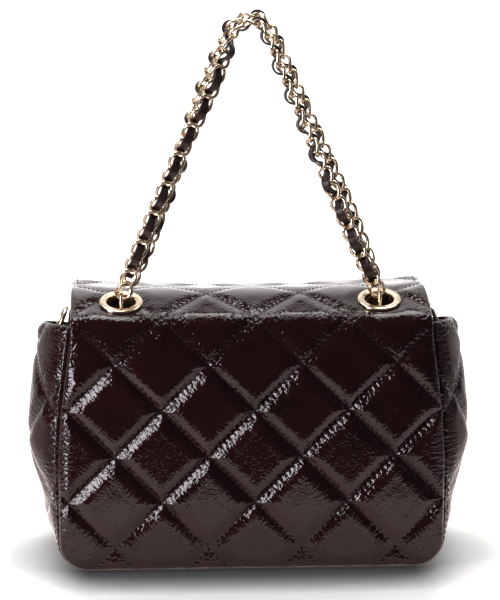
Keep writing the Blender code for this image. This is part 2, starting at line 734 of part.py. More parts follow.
def make_connector(name, side):
    """A long upright link through the eyelet; the chain hooks over its top."""
    low, high = CONNECTOR_LOW - CONNECTOR_RADIUS, HOOK_HEIGHT + CONNECTOR_RADIUS
    middle = (low + high) / 2
    corners = ((CONNECTOR_RADIUS, middle), (CONNECTOR_RADIUS, high), (-CONNECTOR_RADIUS, high),
               (-CONNECTOR_RADIUS, low), (CONNECTOR_RADIUS, low), (CONNECTOR_RADIUS, middle))
    link = flat_wire(corners, (CONNECTOR_RADIUS - WELD,) * 4, CONNECTOR_WIRE)
    upright = Matrix(((0.0, 0.0, 1.0), (1.0, 0.0, 0.0), (0.0, 1.0, 0.0))).to_4x4()
    frame = Matrix.Translation((side * EYELET_X, EYELET_Y, 0.0)) @ upright
    return add_object(name, placed(link, frame), GOLD)


TAB_OUTER = RING_WIRE + GAP + TAB_LAYER


def make_ring(name, frame, parent=None):
    """A D-shaped ring: its straight bar on the local X axis, its bow along local Y."""
    corners = ((0.0, 0.0), (RING_HALF_WIDTH, 0.0), (RING_HALF_WIDTH, RING_LENGTH),
               (-RING_HALF_WIDTH, RING_LENGTH), (-RING_HALF_WIDTH, 0.0), (0.0, 0.0))
    bow = RING_HALF_WIDTH - WELD
    ring = flat_wire(corners, (RING_CORNER, bow, bow, RING_CORNER), RING_WIRE)
    return add_object(name, placed(ring, frame), GOLD, parent)


def make_tab(name, frame):
    """A leather strip folded round a ring's bar, its two layers sewn down along local -Y;
    the wall that carries it is on the local -Z side."""
    inner = -TAB_OUTER + 2 * TAB_LAYER
    meet = math.acos(inner / TAB_OUTER)
    steps = math.ceil((math.pi + meet) / BEND_STEP)
    outline = [(-TAB_OUTER, -TAB_LENGTH)]
    for step in range(steps + 1):
        angle = math.pi - (math.pi + meet) * step / steps
        outline.append((TAB_OUTER * math.cos(angle), TAB_OUTER * math.sin(angle)))
    outline.append((inner, -TAB_LENGTH))
    half = TAB_WIDTH / 2
    bm = lofted([[(x, y, z) for z, y in outline] for x in (-half, half)], closed=False)
    bore = bmesh.new()
    bmesh.ops.create_cone(bore, cap_ends=True, segments=SMALL_ROUND_SEGMENTS, radius1=RING_WIRE + GAP,
                          radius2=RING_WIRE + GAP, depth=TAB_WIDTH + OVERRUN,
                          matrix=Matrix.Rotation(math.pi / 2, 4, "Y"))
    tab = add_object(name, placed(bm, frame), FACING)
    cut(tab, add_cutter(name + "_bore", placed(bore, frame)))


LINING_INNER_BACK = STRIP_BACK_Y + LINING_THICKNESS


def anchor_frame(side, lean=0.0):
    """Frame of a back wall anchor: local -Z to the wall, local Y up, leaning forward by an angle."""
    y = LINING_INNER_BACK + GAP + TAB_OUTER
    reach = EYELET_Y - y
    ring_top = CONNECTOR_LOW - CONNECTOR_INNER_RADIUS + GAP + RING_WIRE
    height = ring_top - math.sqrt(RING_LENGTH ** 2 - reach ** 2)
    facing = Matrix(((-1.0, 0.0, 0.0), (0.0, 0.0, 1.0), (0.0, 1.0, 0.0))).to_4x4()
    return Matrix.Translation((side * EYELET_X, y, height)) @ facing @ Matrix.Rotation(lean, 4, "X")


ANCHOR_LEAN = math.asin((EYELET_Y - LINING_INNER_BACK - GAP - TAB_OUTER) / RING_LENGTH)
GUSSET_RING_HEIGHT = MOUTH_HEIGHT - GUSSET_RING_DROP
WALL_LEAN = math.atan(SIDE_SLOPE)


def gusset_ring_place(side):
    """Middle of the bar of a gusset's ring, just inside the lining."""
    run = OUTLINE.find(lambda point: point.y < GUSSET_RING_HEIGHT)
    wall = gusset_point(run, STRIP_MIDDLE_Y + TAB_WIDTH / 2,
                        -GUSSET_THICKNESS - POUCH_GAP - LINING_THICKNESS, side, square=True)
    return Vector((wall.x - side * (GAP + TAB_OUTER), STRIP_MIDDLE_Y, GUSSET_RING_HEIGHT))


def gusset_ring_frame(side, lean=0.0):
    """Frame of a gusset's ring: local -Z to the gusset, local Y up, leaning inward by an angle."""
    facing = Matrix(((0.0, 0.0, -side), (side, 0.0, 0.0), (0.0, 1.0, 0.0)))
    if facing.determinant() < 0:
        facing = facing @ Matrix.Diagonal((-1.0, 1.0, 1.0))
    return Matrix.Translation(gusset_ring_place(side)) @ facing.to_4x4() @ Matrix.Rotation(lean, 4, "X")


# Chain: oval links twisted end to end, each hooked through the next, hung in two strands

ARMS = Path(((-EYELET_X, HOOK_HEIGHT), (0.0, APEX_CORNER_HEIGHT), (EYELET_X, HOOK_HEIGHT)), (APEX_RADIUS,))


class Strand:
    """The line of one strand: it follows the two arms, beside its twin."""

    def __init__(self, shares, side):
        self.shares = shares
        self.side = side
        self.hooks, self.pitch = self.place_hooks()

    def at(self, share):
        point, outer = ARMS.at(share * ARMS.length)
        sideways, spread, _ = smooth_table(self.shares, share)
        point = point + outer * sideways * 2 * LINK_HALF_WIDTH
        return Vector((point.x, EYELET_Y + self.side * spread * STRAND_SPREAD, point.y))

    def step(self, share, pitch):
        """Share at which the line is one pitch away from its place at the given share."""
        start = self.at(share)
        low, high = share, share + 2 * pitch / ARMS.length
        while high - low > WELD:
            middle = (low + high) / 2
            if (self.at(middle) - start).length > pitch:
                high = middle
            else:
                low = middle
        return high

    def walk(self, pitch, count):
        shares = [0.0]
        for _ in range(count):
            shares.append(self.step(shares[-1], pitch))
        return shares

    def place_hooks(self):
        """An odd number of links of one pitch, so that one lies across the top."""
        points = [self.at(index / STRAND_SAMPLES) for index in range(STRAND_SAMPLES + 1)]
        length = sum((after - before).length for before, after in zip(points, points[1:]))
        count = 2 * round((length / LINK_PITCH - 1) / 2) + 1
        low, high = LINK_PITCH / 2, 2 * LINK_PITCH
        while high - low > PITCH_TOLERANCE:
            pitch = (low + high) / 2
            if self.walk(pitch, count)[-1] > 1:
                high = pitch
            else:
                low = pitch
        return self.walk(low, count), low

    def roll(self, share):
        return smooth_table(self.shares, share)[2] * math.pi / 2

    def face(self, share, heading):
        """Directions across the strand and out of its face, at its roll."""
        out = Vector((0.0, -1.0, 0.0))
        out = (out - heading * out.dot(heading)).normalized()
        out = Matrix.Rotation(self.roll(share), 3, heading) @ out
        return out.cross(heading), out


def link_wire(back, front, twist_back, twist_front):
    """One link about its middle: half lengths and twists toward its two ends."""
    centres, ups = [], []
    for index in range(LINK_SEGMENTS):
        angle = 2 * math.pi * index / LINK_SEGMENTS
        along, across_link = math.cos(angle), math.sin(angle)
        along = math.copysign(abs(along) ** LINK_SQUARE_SHARE, along)
        across_link = math.copysign(abs(across_link) ** LINK_SQUARE_SHARE, across_link) * LINK_HALF_WIDTH
        twist = along * (twist_front if along > 0 else twist_back)
        place = Vector((along * (front if along > 0 else back), across_link * math.cos(twist),
                        across_link * math.sin(twist)))
        centres.append(place)
        ups.append(Vector((0.0, -math.sin(twist), math.cos(twist))))
    return wire(centres, ups, LINK_WIRE, LINK_SIDES)


def make_links(name, strand, first, last, parent):
    """A length of chain: its links are fused where they bear on each other."""
    count = len(strand.hooks) - 1
    fused, free = LINK_WIRE - LINK_FUSE / 2, LINK_WIRE + LINK_PLAY / 2
    operands = []
    for index in range(first, last):
        start, end = strand.at(strand.hooks[index]), strand.at(strand.hooks[index + 1])
        heading = (end - start).normalized()
        across_link, out = strand.face((strand.hooks[index] + strand.hooks[index + 1]) / 2, heading)
        half = (end - start).length / 2
        back = half + (0.0 if index == 0 else free if index == first else fused)
        front = half + (0.0 if index == count - 1 else free if index == last - 1 else fused)
        twist_back = 0.0 if index == 0 else LINK_TWIST
        twist_front = 0.0 if index == count - 1 else LINK_TWIST
        bm = link_wire(back, front, twist_back, twist_front)
        frame = Matrix((heading, across_link, out)).transposed().to_4x4()
        frame.translation = (start + end) / 2
        operands.append(add_object(name + "_link", placed(bm, frame), GOLD))
    return fuse(name, operands, parent)


def fuse(name, items, parent):
    """One body from items that overlap a little where they touch."""
    collection = bpy.data.collections.new(name + "_links")
    for item in items[1:]:
        collection.objects.link(item)
    union = items[0].modifiers.new("fuse", "BOOLEAN")
    union.operation = "UNION"
    union.solver = "EXACT"
    union.operand_type = "COLLECTION"
    union.collection = collection
    graph = bpy.context.evaluated_depsgraph_get()
    bm = bmesh.new()
    bm.from_mesh(items[0].evaluated_get(graph).to_mesh())
    items[0].evaluated_get(graph).to_mesh_clear()
    for item in items:
        bpy.data.objects.remove(item, do_unlink=True)
    bpy.data.collections.remove(collection)
    return add_object(name, bm, GOLD, parent)


def make_chain(name, strand, parent):
    """The strand is made in three lengths: the two arms and the bend at the top."""
    count = len(strand.hooks) - 1
    arm = (count - TOP_LINKS) // 2
    for place, first, last in (("left", 0, arm), ("top", arm, count - arm), ("right", count - arm, count)):
        make_links(f"{name}_chain_{place}", strand, first, last, parent)


def ribbon_place(strand, along):
    """Centre of the ribbon and the way across it, at a distance along the strand counted in links."""
    link = int(along)
    before, after = strand.hooks[link], strand.hooks[link + 1]
    share = before + (after - before) * (along - link)
    heading = (strand.at(share + RIBBON_PROBE_SHARE) - strand.at(share - RIBBON_PROBE_SHARE)).normalized()
    across_link, out = strand.face(share, heading)
    wave = -math.cos(math.pi * along)
    rise = RIBBON_WAVE * wave * RIBBON_STEEP / math.sqrt(1 + (RIBBON_STEEP ** 2 - 1) * wave ** 2)
    half_width = RIBBON_HALF_WIDTH + (RIBBON_HOOK_HALF_WIDTH - RIBBON_HALF_WIDTH) * abs(wave)
    return strand.at(share) + out * rise, across_link * half_width


def make_ribbon(name, strand, parent):
    """Leather lacing that dips through every link and rises over and under the hooks between them."""
    count = RIBBON_STEPS * (len(strand.hooks) - 3)
    spine = [ribbon_place(strand, RIBBON_START + step / RIBBON_STEPS) for step in range(count)]
    stations = []
    for index, (centre, wide) in enumerate(spine):
        before, after = spine[max(index - 1, 0)][0], spine[min(index + 1, count - 1)][0]
        thick = (after - before).cross(wide).normalized() * RIBBON_THICKNESS / 2
        stations.append([centre + wide + thick, centre - wide + thick, centre - wide - thick,
                         centre + wide - thick])
    return add_object(name, lofted(stations, closed=False), RIBBON, parent)


# Magnetic snap

FLAP_INNER_Y = HALF_DEPTH - FLAP_THICKNESS - GAP - LINING_THICKNESS
SNAP_HOLE = SNAP_SHANK_RADIUS + GAP
SNAP_RECESS = SNAP_WASHER_THICKNESS + GAP


def make_snap_socket(panel):
    """The half of the snap on the front panel: a disc with a pocket for the stud."""
    frame = facing_front(0.0, FRONT_Y, SNAP_HEIGHT)
    top = SOCKET_THICKNESS
    pocket = STUD_RADIUS + GAP
    shank = FRONT_THICKNESS
    socket = turned(((0.0, -shank), (SNAP_SHANK_RADIUS, -shank), (SNAP_SHANK_RADIUS, 0.0), (SNAP_RADIUS, 0.0),
                     (SNAP_RADIUS, top - EDGE_ROUND), (SNAP_RADIUS - EDGE_ROUND, top), (pocket, top),
                     (pocket, SOCKET_FLOOR), (0.0, SOCKET_FLOOR)), SMALL_ROUND_SEGMENTS)
    recess = SNAP_WASHER_RADIUS + GAP
    floor = -FRONT_THICKNESS + SNAP_RECESS
    under, seat = -shank - OVERRUN, SNAP_RADIUS + GAP
    hole = turned(((0.0, under), (recess, under), (recess, floor), (SNAP_HOLE, floor), (SNAP_HOLE, -GAP),
                   (seat, -GAP), (seat, OVERRUN), (0.0, OVERRUN)), SMALL_ROUND_SEGMENTS)
    cut(panel, add_cutter("snap_socket_hole", placed(hole, frame)))
    add_object("snap_socket", placed(socket, frame), STEEL)
    washer = snap_washer(-FRONT_THICKNESS)
    add_object("snap_socket_washer", placed(washer, frame), STEEL)


def snap_washer(low):
    high = low + SNAP_WASHER_THICKNESS
    outer = SNAP_WASHER_RADIUS
    return turned(((SNAP_HOLE, high), (SNAP_HOLE, low), (outer, low), (outer, high)), SMALL_ROUND_SEGMENTS)


def make_snap_stud(panel, lining, parent):
    """The half of the snap on the flap: a flange whose nub enters the socket."""
    frame = facing_front(0.0, FLAP_INNER_Y, SNAP_HEIGHT)
    inner = -GAP
    face = inner - STUD_FLANGE
    skin = LINING_THICKNESS + GAP
    shank = skin + SNAP_RECESS
    stud = turned(((0.0, face - STUD_REACH), (STUD_RADIUS - EDGE_ROUND, face - STUD_REACH),
                   (STUD_RADIUS, face - STUD_REACH + EDGE_ROUND), (STUD_RADIUS, face), (SNAP_RADIUS, face),
                   (SNAP_RADIUS, inner), (SNAP_SHANK_RADIUS, inner), (SNAP_SHANK_RADIUS, shank - GAP),
                   (0.0, shank - GAP)), SMALL_ROUND_SEGMENTS)
    recess = SNAP_WASHER_RADIUS + GAP
    hollow = turned(((0.0, -OVERRUN), (SNAP_HOLE, -OVERRUN), (SNAP_HOLE, skin - GAP / 2),
                     (recess, skin - GAP / 2), (recess, shank), (0.0, shank)), SMALL_ROUND_SEGMENTS)
    cutter = add_cutter("snap_stud_hole", placed(hollow, frame))
    cut(panel, cutter)
    cut(lining, cutter)
    add_object("snap_stud", placed(stud, frame), STEEL, parent)
    add_object("snap_stud_washer", placed(snap_washer(skin), frame), STEEL, parent)


def make_flap_drop(parent):
    """The part of the flap that hangs over the front, with round lower corners."""
    low, high = (-FLAP_HALF_WIDTH, FOLD_RUN + GAP / 2), (FLAP_HALF_WIDTH, SECTION.length)
    bm = flat_piece(low, high, FLAP_THICKNESS, BACK_QUILT)
    cut_to_outline(bm, [across(low[1], -1)] + list(FLAP_OUTLINE.edges()))
    score_bends(bm, SECTION, low[1], high[1])
    bend_to_section(bm)
    panel = add_object("flap_drop_panel", bm, PATENT, parent)
    bm = flat_piece(low, high, LINING_THICKNESS)
    cut_to_outline(bm, FLAP_OUTLINE.edges(LINING_INSET), sewn=False)
    score_bends(bm, SECTION, low[1], high[1])
    bend_to_section(bm, FLAP_THICKNESS + GAP)
    lining = add_object("flap_drop_lining", bm, FACING, parent)
    make_snap_stud(panel, lining, parent)


def make_flap_top(parent):
    start, end = HINGE_RUN + GAP / 2, FOLD_RUN - GAP / 2
    bm = section_piece(start, end, FLAP_HALF_WIDTH, FLAP_THICKNESS, BACK_QUILT)
    add_object("flap_top_panel", bm, PATENT, parent)
    bm = section_piece(start, end, FLAP_HALF_WIDTH - LINING_INSET, LINING_THICKNESS,
                       depth=FLAP_THICKNESS + GAP)
    add_object("flap_top_lining", bm, FACING, parent)


def make_slip_pocket():
    """An open-topped pocket sewn to the back wall's lining along its sides and foot."""
    back = LINING_INNER_BACK + GAP
    front = back + POCKET_DEPTH + POCKET_THICKNESS
    foot = POCKET_TOP - POCKET_HEIGHT
    half = POCKET_WIDTH / 2
    pocket = add_object("slip_pocket", box((-half, back, foot), (half, front, POCKET_TOP)), LINING)
    hollow = box((-half + POCKET_SEAM, back - OVERRUN, foot + POCKET_SEAM),
                 (half - POCKET_SEAM, back + POCKET_DEPTH, POCKET_TOP + OVERRUN))
    cut(pocket, add_cutter("slip_pocket_hollow", hollow))


def axis_on_section(run):
    point, outer = SECTION.at(run)
    point = point + outer * FOLD_RISE
    return Vector((0.0, point.x, point.y))


def build():
    clear_scene()
    make_back_panel()
    shoulder = make_shoulder_panel()
    shoulder_lining = make_shoulder_lining()
    front = make_front_panel()
    make_bottom_panel()
    make_base_board()
    make_interior_lining()
    make_slip_pocket()
    make_snap_socket(front)
    for word, side in (("left", -1), ("right", 1)):
        make_gusset(f"{word}_gusset", side)
        make_eyelet(f"{word}_eyelet", side, shoulder, shoulder_lining)
        make_washer(f"{word}_eyelet_washer", side)
        make_connector(f"{word}_connector_link", side)
        make_tab(f"{word}_anchor_tab", anchor_frame(side))
        make_ring(f"{word}_anchor_ring", anchor_frame(side, ANCHOR_LEAN))
        make_tab(f"{word}_gusset_tab", gusset_ring_frame(side, WALL_LEAN))
        pivot = add_pivot(f"{word}_ring_pivot", gusset_ring_place(side))
        make_ring(f"{word}_gusset_ring", gusset_ring_frame(side, GUSSET_RING_LEAN), pivot)
    hinge = add_pivot("flap_hinge_pivot", axis_on_section(HINGE_RUN))
    make_flap_top(hinge)
    fold = add_pivot("flap_fold_pivot", axis_on_section(FOLD_RUN), hinge)
    make_flap_drop(fold)
    swing = add_pivot("handle_pivot", (0.0, EYELET_Y, HOOK_HEIGHT))
    for word, shares, side in (("front", FRONT_STRAND_SHARES, -1), ("rear", REAR_STRAND_SHARES, 1)):
        strand = Strand(shares, side)
        make_chain(word, strand, swing)
        make_ribbon(f"{word}_ribbon", strand, swing)


build()
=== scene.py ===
"""Looks of the small quilted flap bag: leather skins, linings, metal parts, laced chain and studio.

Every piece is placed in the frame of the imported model. Lengths are in metres.
"""
import math
from itertools import groupby

import bmesh
import bpy
from bpy.props import FloatProperty, FloatVectorProperty, IntProperty, PointerProperty
from mathutils import Matrix, Vector


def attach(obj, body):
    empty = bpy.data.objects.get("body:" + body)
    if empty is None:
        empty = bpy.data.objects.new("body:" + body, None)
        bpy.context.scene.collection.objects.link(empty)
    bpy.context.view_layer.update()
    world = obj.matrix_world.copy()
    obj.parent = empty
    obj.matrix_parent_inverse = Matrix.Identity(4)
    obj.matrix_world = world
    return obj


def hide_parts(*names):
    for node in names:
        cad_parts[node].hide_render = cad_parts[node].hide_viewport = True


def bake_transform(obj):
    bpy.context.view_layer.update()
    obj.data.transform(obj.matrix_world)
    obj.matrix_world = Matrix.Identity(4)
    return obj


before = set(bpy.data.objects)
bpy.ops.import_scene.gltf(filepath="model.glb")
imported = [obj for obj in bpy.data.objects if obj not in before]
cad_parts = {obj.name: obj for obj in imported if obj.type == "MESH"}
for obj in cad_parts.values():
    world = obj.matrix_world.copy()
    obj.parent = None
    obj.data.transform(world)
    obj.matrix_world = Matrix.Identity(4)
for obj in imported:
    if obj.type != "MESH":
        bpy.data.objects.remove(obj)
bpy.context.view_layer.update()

bl_info = {
    "name": "Quilted Flap Bag",
    "version": (1, 0, 0),
    "blender": (4, 5, 0),
    "location": "View3D > Sidebar > Flap Bag",
    "description": "Builds the leather, linings, metal parts and studio of a small quilted flap bag",
    "category": "Object",
}

MM = 0.001

# The bag's own sizes, as its CAD model has them
DEPTH = 0.0713
SHOULDER_HEIGHT = 0.1186
SHOULDER_RADIUS = 0.0080
CREST_HEIGHT = 0.1272
CREST_SETBACK = 0.0080
CREST_RADIUS = 0.0600
FRONT_EDGE_HEIGHT = 0.1248
FRONT_EDGE_RADIUS = 0.0100
FLAP_END_HEIGHT = 0.0430
MOUTH_HALF_WIDTH = 0.0836
SIDE_CORNER = (0.0896, 0.0640)
FOOT_HALF_WIDTH = 0.0892
CORNER_RADIUS = 0.0140
SIDE_RADIUS = 0.3000
FLAP_CORNER_RADIUS = 0.0160
FLAP_HALF_WIDTH = 0.0818
PANEL_INSET = 0.0008
MOUTH_HEIGHT = 0.1100
GAP = 0.0003
BACK_THICKNESS = 0.0030
FRONT_THICKNESS = 0.0025
FLAP_THICKNESS = 0.0022
GUSSET_THICKNESS = 0.0020
LINING_THICKNESS = 0.0008
BOARD_THICKNESS = 0.0016
LINING_INSET = 0.0012
FRONT_SETBACK = 0.0068
GUSSET_BULGE = 0.0120
GUSSET_END_X = 0.0710
BULGE_POWER = 2.2
BULGE_TABLE = ((0.0, 1.0), (0.42, 1.0), (0.70, 0.45), (0.84, 0.05), (0.90, 0.0), (1.0, 0.0))
EYELET_X = 0.0592
EYELET_Y = -0.0204
EYELET_FLANGE_RADIUS = 0.0100
EYELET_BORE_RADIUS = 0.00665
EYELET_WALL = 0.0006
EYELET_FLANGE = 0.0013
EYELET_FILLETS = (0.0009, 0.0008, 0.0003, 0.0001, 0.0002, 0.0002)
WASHER_RADIUS = 0.0092
WASHER_THICKNESS = 0.0008
WASHER_SLACK = 0.0009
WASHER_FILLET = 0.0002
CONNECTOR_WIRE = 0.0008
CONNECTOR_RADIUS = 0.0034
CONNECTOR_STRAIGHT = 0.0155
HOOK_RISE = 0.0023
RING_WIRE = 0.0009
RING_HALF_WIDTH = 0.0063
RING_LENGTH = 0.0142
RING_CORNER = 0.0014
TAB_WIDTH = 0.0090
TAB_LAYER = 0.0010
GUSSET_RING_HEIGHT = 0.1045
GUSSET_RING_LEAN = math.radians(23)
LINK_PITCH = 0.0075
LINK_WIRE = 0.00078
LINK_HALF_WIDTH = 0.00325
LINK_TWIST = math.radians(38)
LINK_SQUARE = 0.82
LINK_BITE = 0.00019
APEX_CORNER_HEIGHT = 0.2678
APEX_RADIUS = 0.0090
STRAND_SPREAD = 0.0044
SNAP_HEIGHT = 0.0620
SNAP_RADIUS = 0.0070
POCKET_WIDTH = 0.0900
POCKET_HEIGHT = 0.0600
POCKET_TOP = 0.0880

# Share of the strand's length; sideways, in link widths; fore and aft, in spreads; roll, in quarter turns
FRONT_STRAND = (
    (0.00, 0.00, 0.24, 0.00), (0.03, 0.10, 0.70, 0.00), (0.07, 0.20, 1.00, 0.00), (0.25, 0.15, 1.00, 0.05),
    (0.38, -0.15, 1.00, 0.15), (0.48, 0.00, 1.00, 0.80), (0.58, -0.20, 1.00, 0.95), (0.66, -0.20, 1.00, 0.90),
    (0.88, -0.15, 1.00, 0.15), (0.93, -0.10, 1.00, 0.00), (0.97, 0.00, 0.70, 0.00), (1.00, 0.00, 0.24, 0.00))
REAR_STRAND = (
    (0.00, 0.00, 0.24, 0.00), (0.03, -0.15, 0.70, 0.00), (0.07, -0.35, 1.00, 0.05), (0.20, -0.25, 1.00, 0.55),
    (0.36, 0.40, 1.00, 0.80), (0.50, 0.25, 1.00, 0.80), (0.65, 0.30, 1.00, 0.65), (0.85, 0.40, 1.00, 0.35),
    (0.93, 0.25, 1.00, 0.10), (0.97, 0.10, 0.70, 0.00), (1.00, 0.00, 0.24, 0.00))

# Quilting; the node is a crossing of its seams
QUILT_WIDTH = 0.0430
QUILT_HEIGHT = 0.0433
QUILT_CELLS = 32
QUILT_NODE = (-0.0199, 0.0981)
SEAM_SPACING = QUILT_WIDTH * QUILT_HEIGHT / math.hypot(QUILT_WIDTH, QUILT_HEIGHT)

# Stitches: how many to a cell, how far seams are followed either way, and how far ahead, aside and above a stitch
# the skin is probed for its outer side
STITCHES = 11
STITCH = SEAM_SPACING / STITCHES
STITCH_GAP = 0.0008
STITCH_SIZE = (0.00065, 0.0005)
GUSSET_STITCH_SIZE = (0.00055, 0.0004)
SEAM_REACH = 110
SEAM_MARGIN = 0.0016
GUSSET_SEAM_MARGIN = 0.0030
SHORTEST_ROW = 0.004
THREAD_LIFT = 0.0001
PROBE = (0.001, 0.0006, 0.002)
FLAP_HEM = 0.0030
FRONT_HEM = (0.079, 0.1075)
GUSSET_HEM = 0.0026

# Rims, cuts and facets of the skins: the nearness of faces to a cut, and the turn in degrees that a facet takes
WELD = 0.000001
EDGE_BEND = 8
TURNED_BEND = 18
WIRE_BEND = 12
RIM = 0.0014
GUSSET_RIM = 0.0009
RIM_STEPS = (0.0005, 0.0011, 0.0020, 0.0034)
RIM_FALL = 0.0055
CUT_NEAR = 0.0020
CUT_BEYOND = 0.0030
HOLE_MARGIN = 0.0004
LINING_HOLE_RADIUS = 0.0098

# Shares of the full puff; where it changes along the cover, as a start and a length
FRONT_PUFF = 0.75
GUSSET_PUFF = 0.6
FOOT_PUFF = 0.4
FOOT_CHANGE = (0.0100, 0.0260)
TOP_CHANGE = (0.0800, 0.0380)
AFTER_FOLD_CHANGE = (0.0020, 0.0120)

# Hang of the flap's top: at its sides and more in its middle; its start after the eyelets, how much sooner than
# the fold it is full, and its end after the fold
FOLD_SAG = (0.0010, 0.0030)
SAG_START = 0.0040
SAG_FULL = 0.0120
SAG_END = (0.0050, 0.0450)

# What the skins lose in thickness so that they stay clear of each other
FRONT_SLACK = 0.0003
GUSSET_SLACK = 0.0002
POCKET_SLACK = 0.0001

# Two bodies, and the points between which a skin passes from the one to the other
HINGE = ("bag_body", "flap_top", (0.0, -0.014, 0.1266), (0.0, 0.002, 0.1266))
FOLD = ("flap_top", "flap_drop", (0.0, 0.026, 0.1250), (0.0, 0.0357, 0.1153))
LINING_HINGE = ("bag_body", "flap_top", (0.0, -0.014, 0.1236), (0.0, 0.002, 0.1236))
LINING_FOLD = ("flap_top", "flap_drop", (0.0, 0.024, 0.1222), (0.0, 0.0335, 0.1130))

SIDES = (("left", -1), ("right", 1))

# Pouch, pocket, bevels and ribbon; the ribbon's grid counts squares across it and along each link
POUCH_GRID = (24, 150)
POUCH_LEVELS = 21
POUCH_LEVEL = 0.005
POCKET_GRID = (60, 40)
POCKET_FULLNESS = 0.0012
BOTTOM_BEVEL = 0.0007
STRAP_BEVEL = 0.00025
BEVEL_SEGMENTS = 3
BEVEL_FROM = math.radians(50)
STRAND_SAMPLES = 400
RIBBON_START = 1.5
RIBBON_WAVE = 0.0028
RIBBON_FLATNESS = 1.5
RIBBON_HALF_WIDTH = 0.0017
RIBBON_WIDENING = 0.0004
RIBBON_THICKNESS = 0.0009
RIBBON_GRID = (4, 10)

# Studio: the floor's sweep; its painted contact shadow, its painted shade to mirrors and painted light to the camera
# at the sides, and the backdrop's rise at the back; the colour of its painted reflection glow; and the lamps as a
# name, a place, a size, a brightness and a colour
FLOOR_FRONT = -0.155
FLOOR_SWEEP = ((FLOOR_FRONT, 0.0), (0.75, 0.0), (0.75, 1.05))
FLOOR_CURVE = 0.30
FLOOR_WIDTH = 2.4
FLOOR_DROP = 0.0004
# Painted contact shadow on the floor: how far it reaches and how steeply it deepens
PAINTED_SHADOW_REACH = 0.036
PAINTED_SHADOW_POWER = 3.5
# Painted shade in reflections: how the floor darkens to the sides as mirrors see it
PAINTED_MIRROR_SHADE = (0.14, 0.26, 1.0, 0.3)
# Painted light: how the floor's glow to the camera rises beside the bag
PAINTED_LIGHT_BESIDE = (0.074, 0.104, 0.04, 0.55)
BACKDROP_RISE = (0.20, 0.62)
# Colour of the painted reflection glow that mirrors see on the floor near the bag
PAINTED_REFLECTION_COLOUR = (1.0, 0.62, 0.55)
WHITE_COLOUR = (1.0, 0.98, 0.96)
LAMP_TARGET = Vector((0.0, 0.0, 0.07))
LAMPS = (
    ("left softbox", (-0.789, -0.518, 0.27), (0.25, 0.74), 16.5, (0.97, 0.95, 1.0)),
    ("overhead softbox", (0.0, 0.19, 1.00), (1.00, 0.45), 8.4, (1.0, 0.98, 0.96)),
    ("right fill", (1.1, -0.15, 0.45), (0.5, 0.6), 0.4, (1.0, 0.85, 0.8)))
PICTURE_HEIGHT = 600

COLOUR = {"subtype": "COLOR", "size": 3, "min": 0, "max": 1}
SHARE = {"subtype": "FACTOR", "min": 0, "max": 1}


class LeatherSettings(bpy.types.PropertyGroup):
    patent: FloatVectorProperty(
        name="Patent", description="Colour of the patent leather", default=(0.0145, 0.0032, 0.0034), **COLOUR)
    facing: FloatVectorProperty(
        name="Facing", description="Colour of the smooth leather inside the flap",
        default=(0.020, 0.0065, 0.0065), **COLOUR)
    lining: FloatVectorProperty(
        name="Lining", description="Colour of the lining cloth", default=(0.022, 0.012, 0.012), **COLOUR)
    ribbon: FloatVectorProperty(
        name="Ribbon", description="Colour of the leather laced through the chain",
        default=(0.028, 0.014, 0.013), **COLOUR)
    thread: FloatVectorProperty(
        name="Thread", description="Colour of the sewing thread", default=(0.012, 0.004, 0.004), **COLOUR)
    slope: FloatProperty(
        name="Quilt slope", description="Steepness of the quilting beside its seams", subtype="ANGLE",
        default=math.radians(32), min=0.1, max=1.2)
    shoulder: FloatProperty(
        name="Quilt shoulder", description="Where the quilting starts to level out, from the seam", unit="LENGTH",
        default=0.0026, min=0.0005, max=0.01)
    level: FloatProperty(
        name="Quilt level", description="Where the quilting is flat, from the seam", unit="LENGTH",
        default=0.0066, min=0.002, max=0.02)
    top: FloatProperty(
        name="Top puff", description="Puff of the quilting over the shoulder and the top, against the walls'",
        default=0.24, **SHARE)
    belly: FloatProperty(
        name="Belly", description="How far the back bows out between its edges", unit="LENGTH",
        default=0.0030, min=0, max=0.008)
    crinkle: FloatProperty(
        name="Crinkle", description="Depth of the fine crinkles in the patent leather", unit="LENGTH",
        default=0.00030, min=0, max=0.002)


class MetalSettings(bpy.types.PropertyGroup):
    gold: FloatVectorProperty(
        name="Gold", description="Colour of the pale gold plating", default=(0.88, 0.715, 0.53), **COLOUR)
    snap: FloatVectorProperty(
        name="Snap", description="Colour of the magnetic snap", default=(0.62, 0.58, 0.52), **COLOUR)
    steps: IntProperty(
        name="Turning steps", description="Facets round a turned metal part", default=64, min=12, max=128)
    link_points: IntProperty(
        name="Link points", description="Points along the wire of a chain link", default=26, min=8, max=48)


